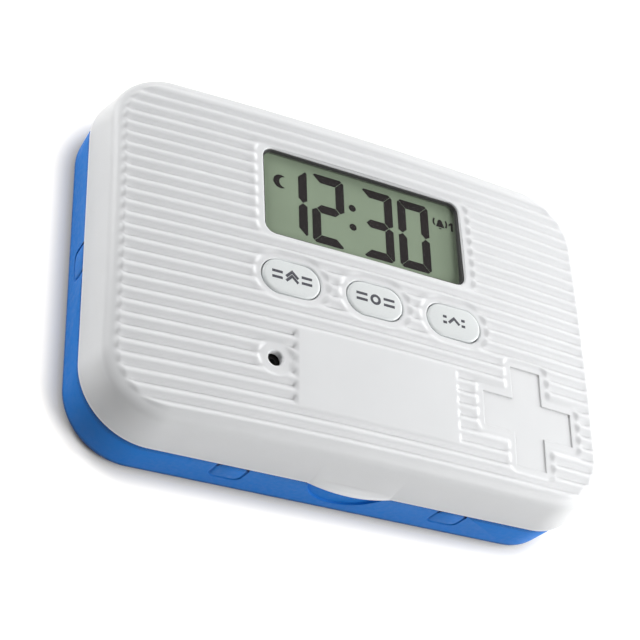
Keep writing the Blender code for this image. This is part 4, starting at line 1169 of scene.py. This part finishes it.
def brushed_metal(name, colour, roughness, stretch):
    """Metal with fine lines drawn along one way."""
    nodes = Nodes(name)
    lines = nodes.noise(0.35 * MM, 4.0, stretch)
    stain = nodes.span(nodes.noise(5 * MM), 0.0, 1.0)
    rubbed, normal = nodes.edges(0.2 * MM)
    base = nodes.mix(stain, darker(colour, 0.82), colour)
    nodes.connect(nodes.mix(rubbed, base, lighter(colour, 0.25)), nodes.shader.inputs["Base Color"])
    nodes.connect(nodes.span(lines, roughness * 0.7, roughness * 1.4), nodes.shader.inputs["Roughness"])
    nodes.bump(lines, 0.004 * MM, normal)
    nodes.set("Metallic", 1.0)
    return nodes


def dress_all(lid, gasket, base, caps, figures, prints):
    dress(lid_material(), lid)
    dress(base_material(), base)
    dress(blue_plastic("divider_blue"), *cad("compartment_divider"))
    dress(cap_material(), *caps)
    dress(figure_material(), figures)
    dress(print_material(), *prints)
    dress(screen_material(), *cad("lcd_panel"))
    dress(lens_material(), *cad("display_lens"))
    dress(gasket_material(), gasket)
    dress(surface("inner_white", (0.78, 0.79, 0.79), 0.45, 0.4 * MM, 0.008 * MM, shade=0.96, wear=0.3),
          *cad("inner_cover", "battery_cover", "display_frame"), *cad_group("switch_plunger"))
    dress(surface("black_plastic", (0.018, 0.018, 0.019), 0.5, 0.3 * MM, 0.006 * MM, shade=0.8, wear=0.08),
          *cad("buzzer"), *cad_group("tact_switch"))
    dress(surface("blob_black", (0.008, 0.008, 0.009), 0.22, 0.9 * MM, 0.02 * MM, shade=0.8, wear=0.02),
          *cad("controller_blob"))
    dress(surface("connector_pink", (0.55, 0.27, 0.30), 0.7, 0.3 * MM, 0.02 * MM, shade=0.85, wear=0.1),
          *cad("zebra_connector"))
    dress(board_material(), *cad("circuit_board"))
    dress(brushed_metal("cell_steel", (0.70, 0.69, 0.66), 0.28, (1, 12, 1)), *cad("coin_cell"))
    dress(brushed_metal("contact_nickel", (0.72, 0.68, 0.58), 0.25, (1, 10, 1)),
          *cad_group("battery_contact"))
    dress(brushed_metal("crystal_can", (0.72, 0.72, 0.70), 0.2, (1, 0.1, 1)), *cad("quartz_crystal"))
    dress(brushed_metal("screw_steel", (0.60, 0.60, 0.61), 0.3, (1, 1, 12)), *cad_group("cover_screw"),
          *cad_group("board_screw"), *cad_group("hinge_pin"))


# Camera, floor and lights

def add_camera():
    data = bpy.data.cameras.new("photo_camera")
    data.sensor_width = 36.0
    data.lens = CAMERA_LENS
    data.clip_start = 10 * MM
    camera = link(bpy.data.objects.new("photo_camera", data))
    forward = Vector((math.sin(CAMERA_AZIMUTH) * math.cos(CAMERA_DOWN),
                      math.cos(CAMERA_AZIMUTH) * math.cos(CAMERA_DOWN), -math.sin(CAMERA_DOWN)))
    aim = forward.to_track_quat("-Z", "Y")
    camera.rotation_mode = "QUATERNION"
    camera.rotation_quaternion = aim @ Quaternion((0, 0, 1), CAMERA_ROLL)
    camera.location = CAMERA_PLACE
    bpy.context.scene.camera = camera


def background_share(tree):
    """1 for rays from the camera, off gloss or through glass, and 0 for light on the object."""
    path = tree.nodes.new("ShaderNodeLightPath")
    total = path.outputs["Is Camera Ray"]
    for name in ("Is Glossy Ray", "Is Transmission Ray"):
        node = tree.nodes.new("ShaderNodeMath")
        node.operation = "ADD"
        node.use_clamp = True
        tree.links.new(total, node.inputs[0])
        tree.links.new(path.outputs[name], node.inputs[1])
        total = node.outputs["Value"]
    return total


def add_floor():
    """A pale floor that shows white, with a soft shadow where the object stands."""
    corners = [(-FLOOR_HALF, -FLOOR_HALF, 0), (FLOOR_HALF, -FLOOR_HALF, 0), (FLOOR_HALF, FLOOR_HALF, 0),
               (-FLOOR_HALF, FLOOR_HALF, 0)]
    floor = mesh_object("floor", corners, [(0, 1, 2, 3)])
    nodes = Nodes("floor_white")
    nodes.set("Base Color", (0.80, 0.80, 0.80, 1))
    nodes.set("Roughness", 0.9)
    nodes.set("Specular IOR Level", 0.0)
    nodes.set("Emission Color", (1.0, 0.95, 0.85, 1))
    contact = nodes.add("ShaderNodeAmbientOcclusion", samples=8)
    contact.inputs["Distance"].default_value = CONTACT_REACH
    open_share = nodes.add("ShaderNodeMath", operation="POWER")
    nodes.connect(contact.outputs["AO"], open_share.inputs[0])
    open_share.inputs[1].default_value = CONTACT_POWER
    glow = nodes.span(open_share.outputs["Value"], 0.0, FLOOR_GLOW, 0.0, 1.0)
    strength = nodes.product(background_share(nodes.tree), glow)
    nodes.connect(strength, nodes.shader.inputs["Emission Strength"])
    floor.data.materials.append(nodes.material)


def add_world():
    world = bpy.data.worlds.new("studio")
    world.use_nodes = True
    bpy.context.scene.world = world
    tree = world.node_tree
    background = tree.nodes["Background"]
    background.inputs["Color"].default_value = (1.0, 1.0, 1.0, 1)
    strength = tree.nodes.new("ShaderNodeMapRange")
    tree.links.new(background_share(tree), strength.inputs["Value"])
    strength.inputs["To Min"].default_value = WORLD_LIGHT
    strength.inputs["To Max"].default_value = 1.0
    tree.links.new(strength.outputs["Result"], background.inputs["Strength"])


def add_lamp(name, azimuth, elevation, power):
    """A round soft lamp around the object, its azimuth counted from the back towards the right."""
    data = bpy.data.lights.new(name, "AREA")
    data.shape = "DISK"
    data.size = LAMP_SIZE
    data.energy = power
    lamp = link(bpy.data.objects.new(name, data))
    azimuth, elevation = math.radians(azimuth), math.radians(elevation)
    towards = Vector((math.sin(azimuth) * math.cos(elevation), math.cos(azimuth) * math.cos(elevation),
                      math.sin(elevation)))
    lamp.location = towards * LAMP_DISTANCE
    lamp.rotation_mode = "QUATERNION"
    lamp.rotation_quaternion = towards.to_track_quat("Z", "Y")


def add_studio():
    add_world()
    add_floor()
    add_lamp("back_left", -45, 19, 6.0)
    add_lamp("back_right", 50, 20, 2.2)
    add_lamp("right_low", 90, 15, 4.9)
    add_lamp("right_high", 90, 45, 1.4)
    add_lamp("front_right", 135, 40, 4.2)
    bpy.context.scene.view_settings.view_transform = "Standard"


def main():
    add_camera()
    add_studio()
    lid = build_lid()
    gasket = build_gasket()
    base = build_base()
    caps = [build_cap(name) for name in BUTTONS]
    figures = build_display_figures()
    prints = build_button_prints()
    dress_all(lid, gasket, base, caps, figures, prints)


main()
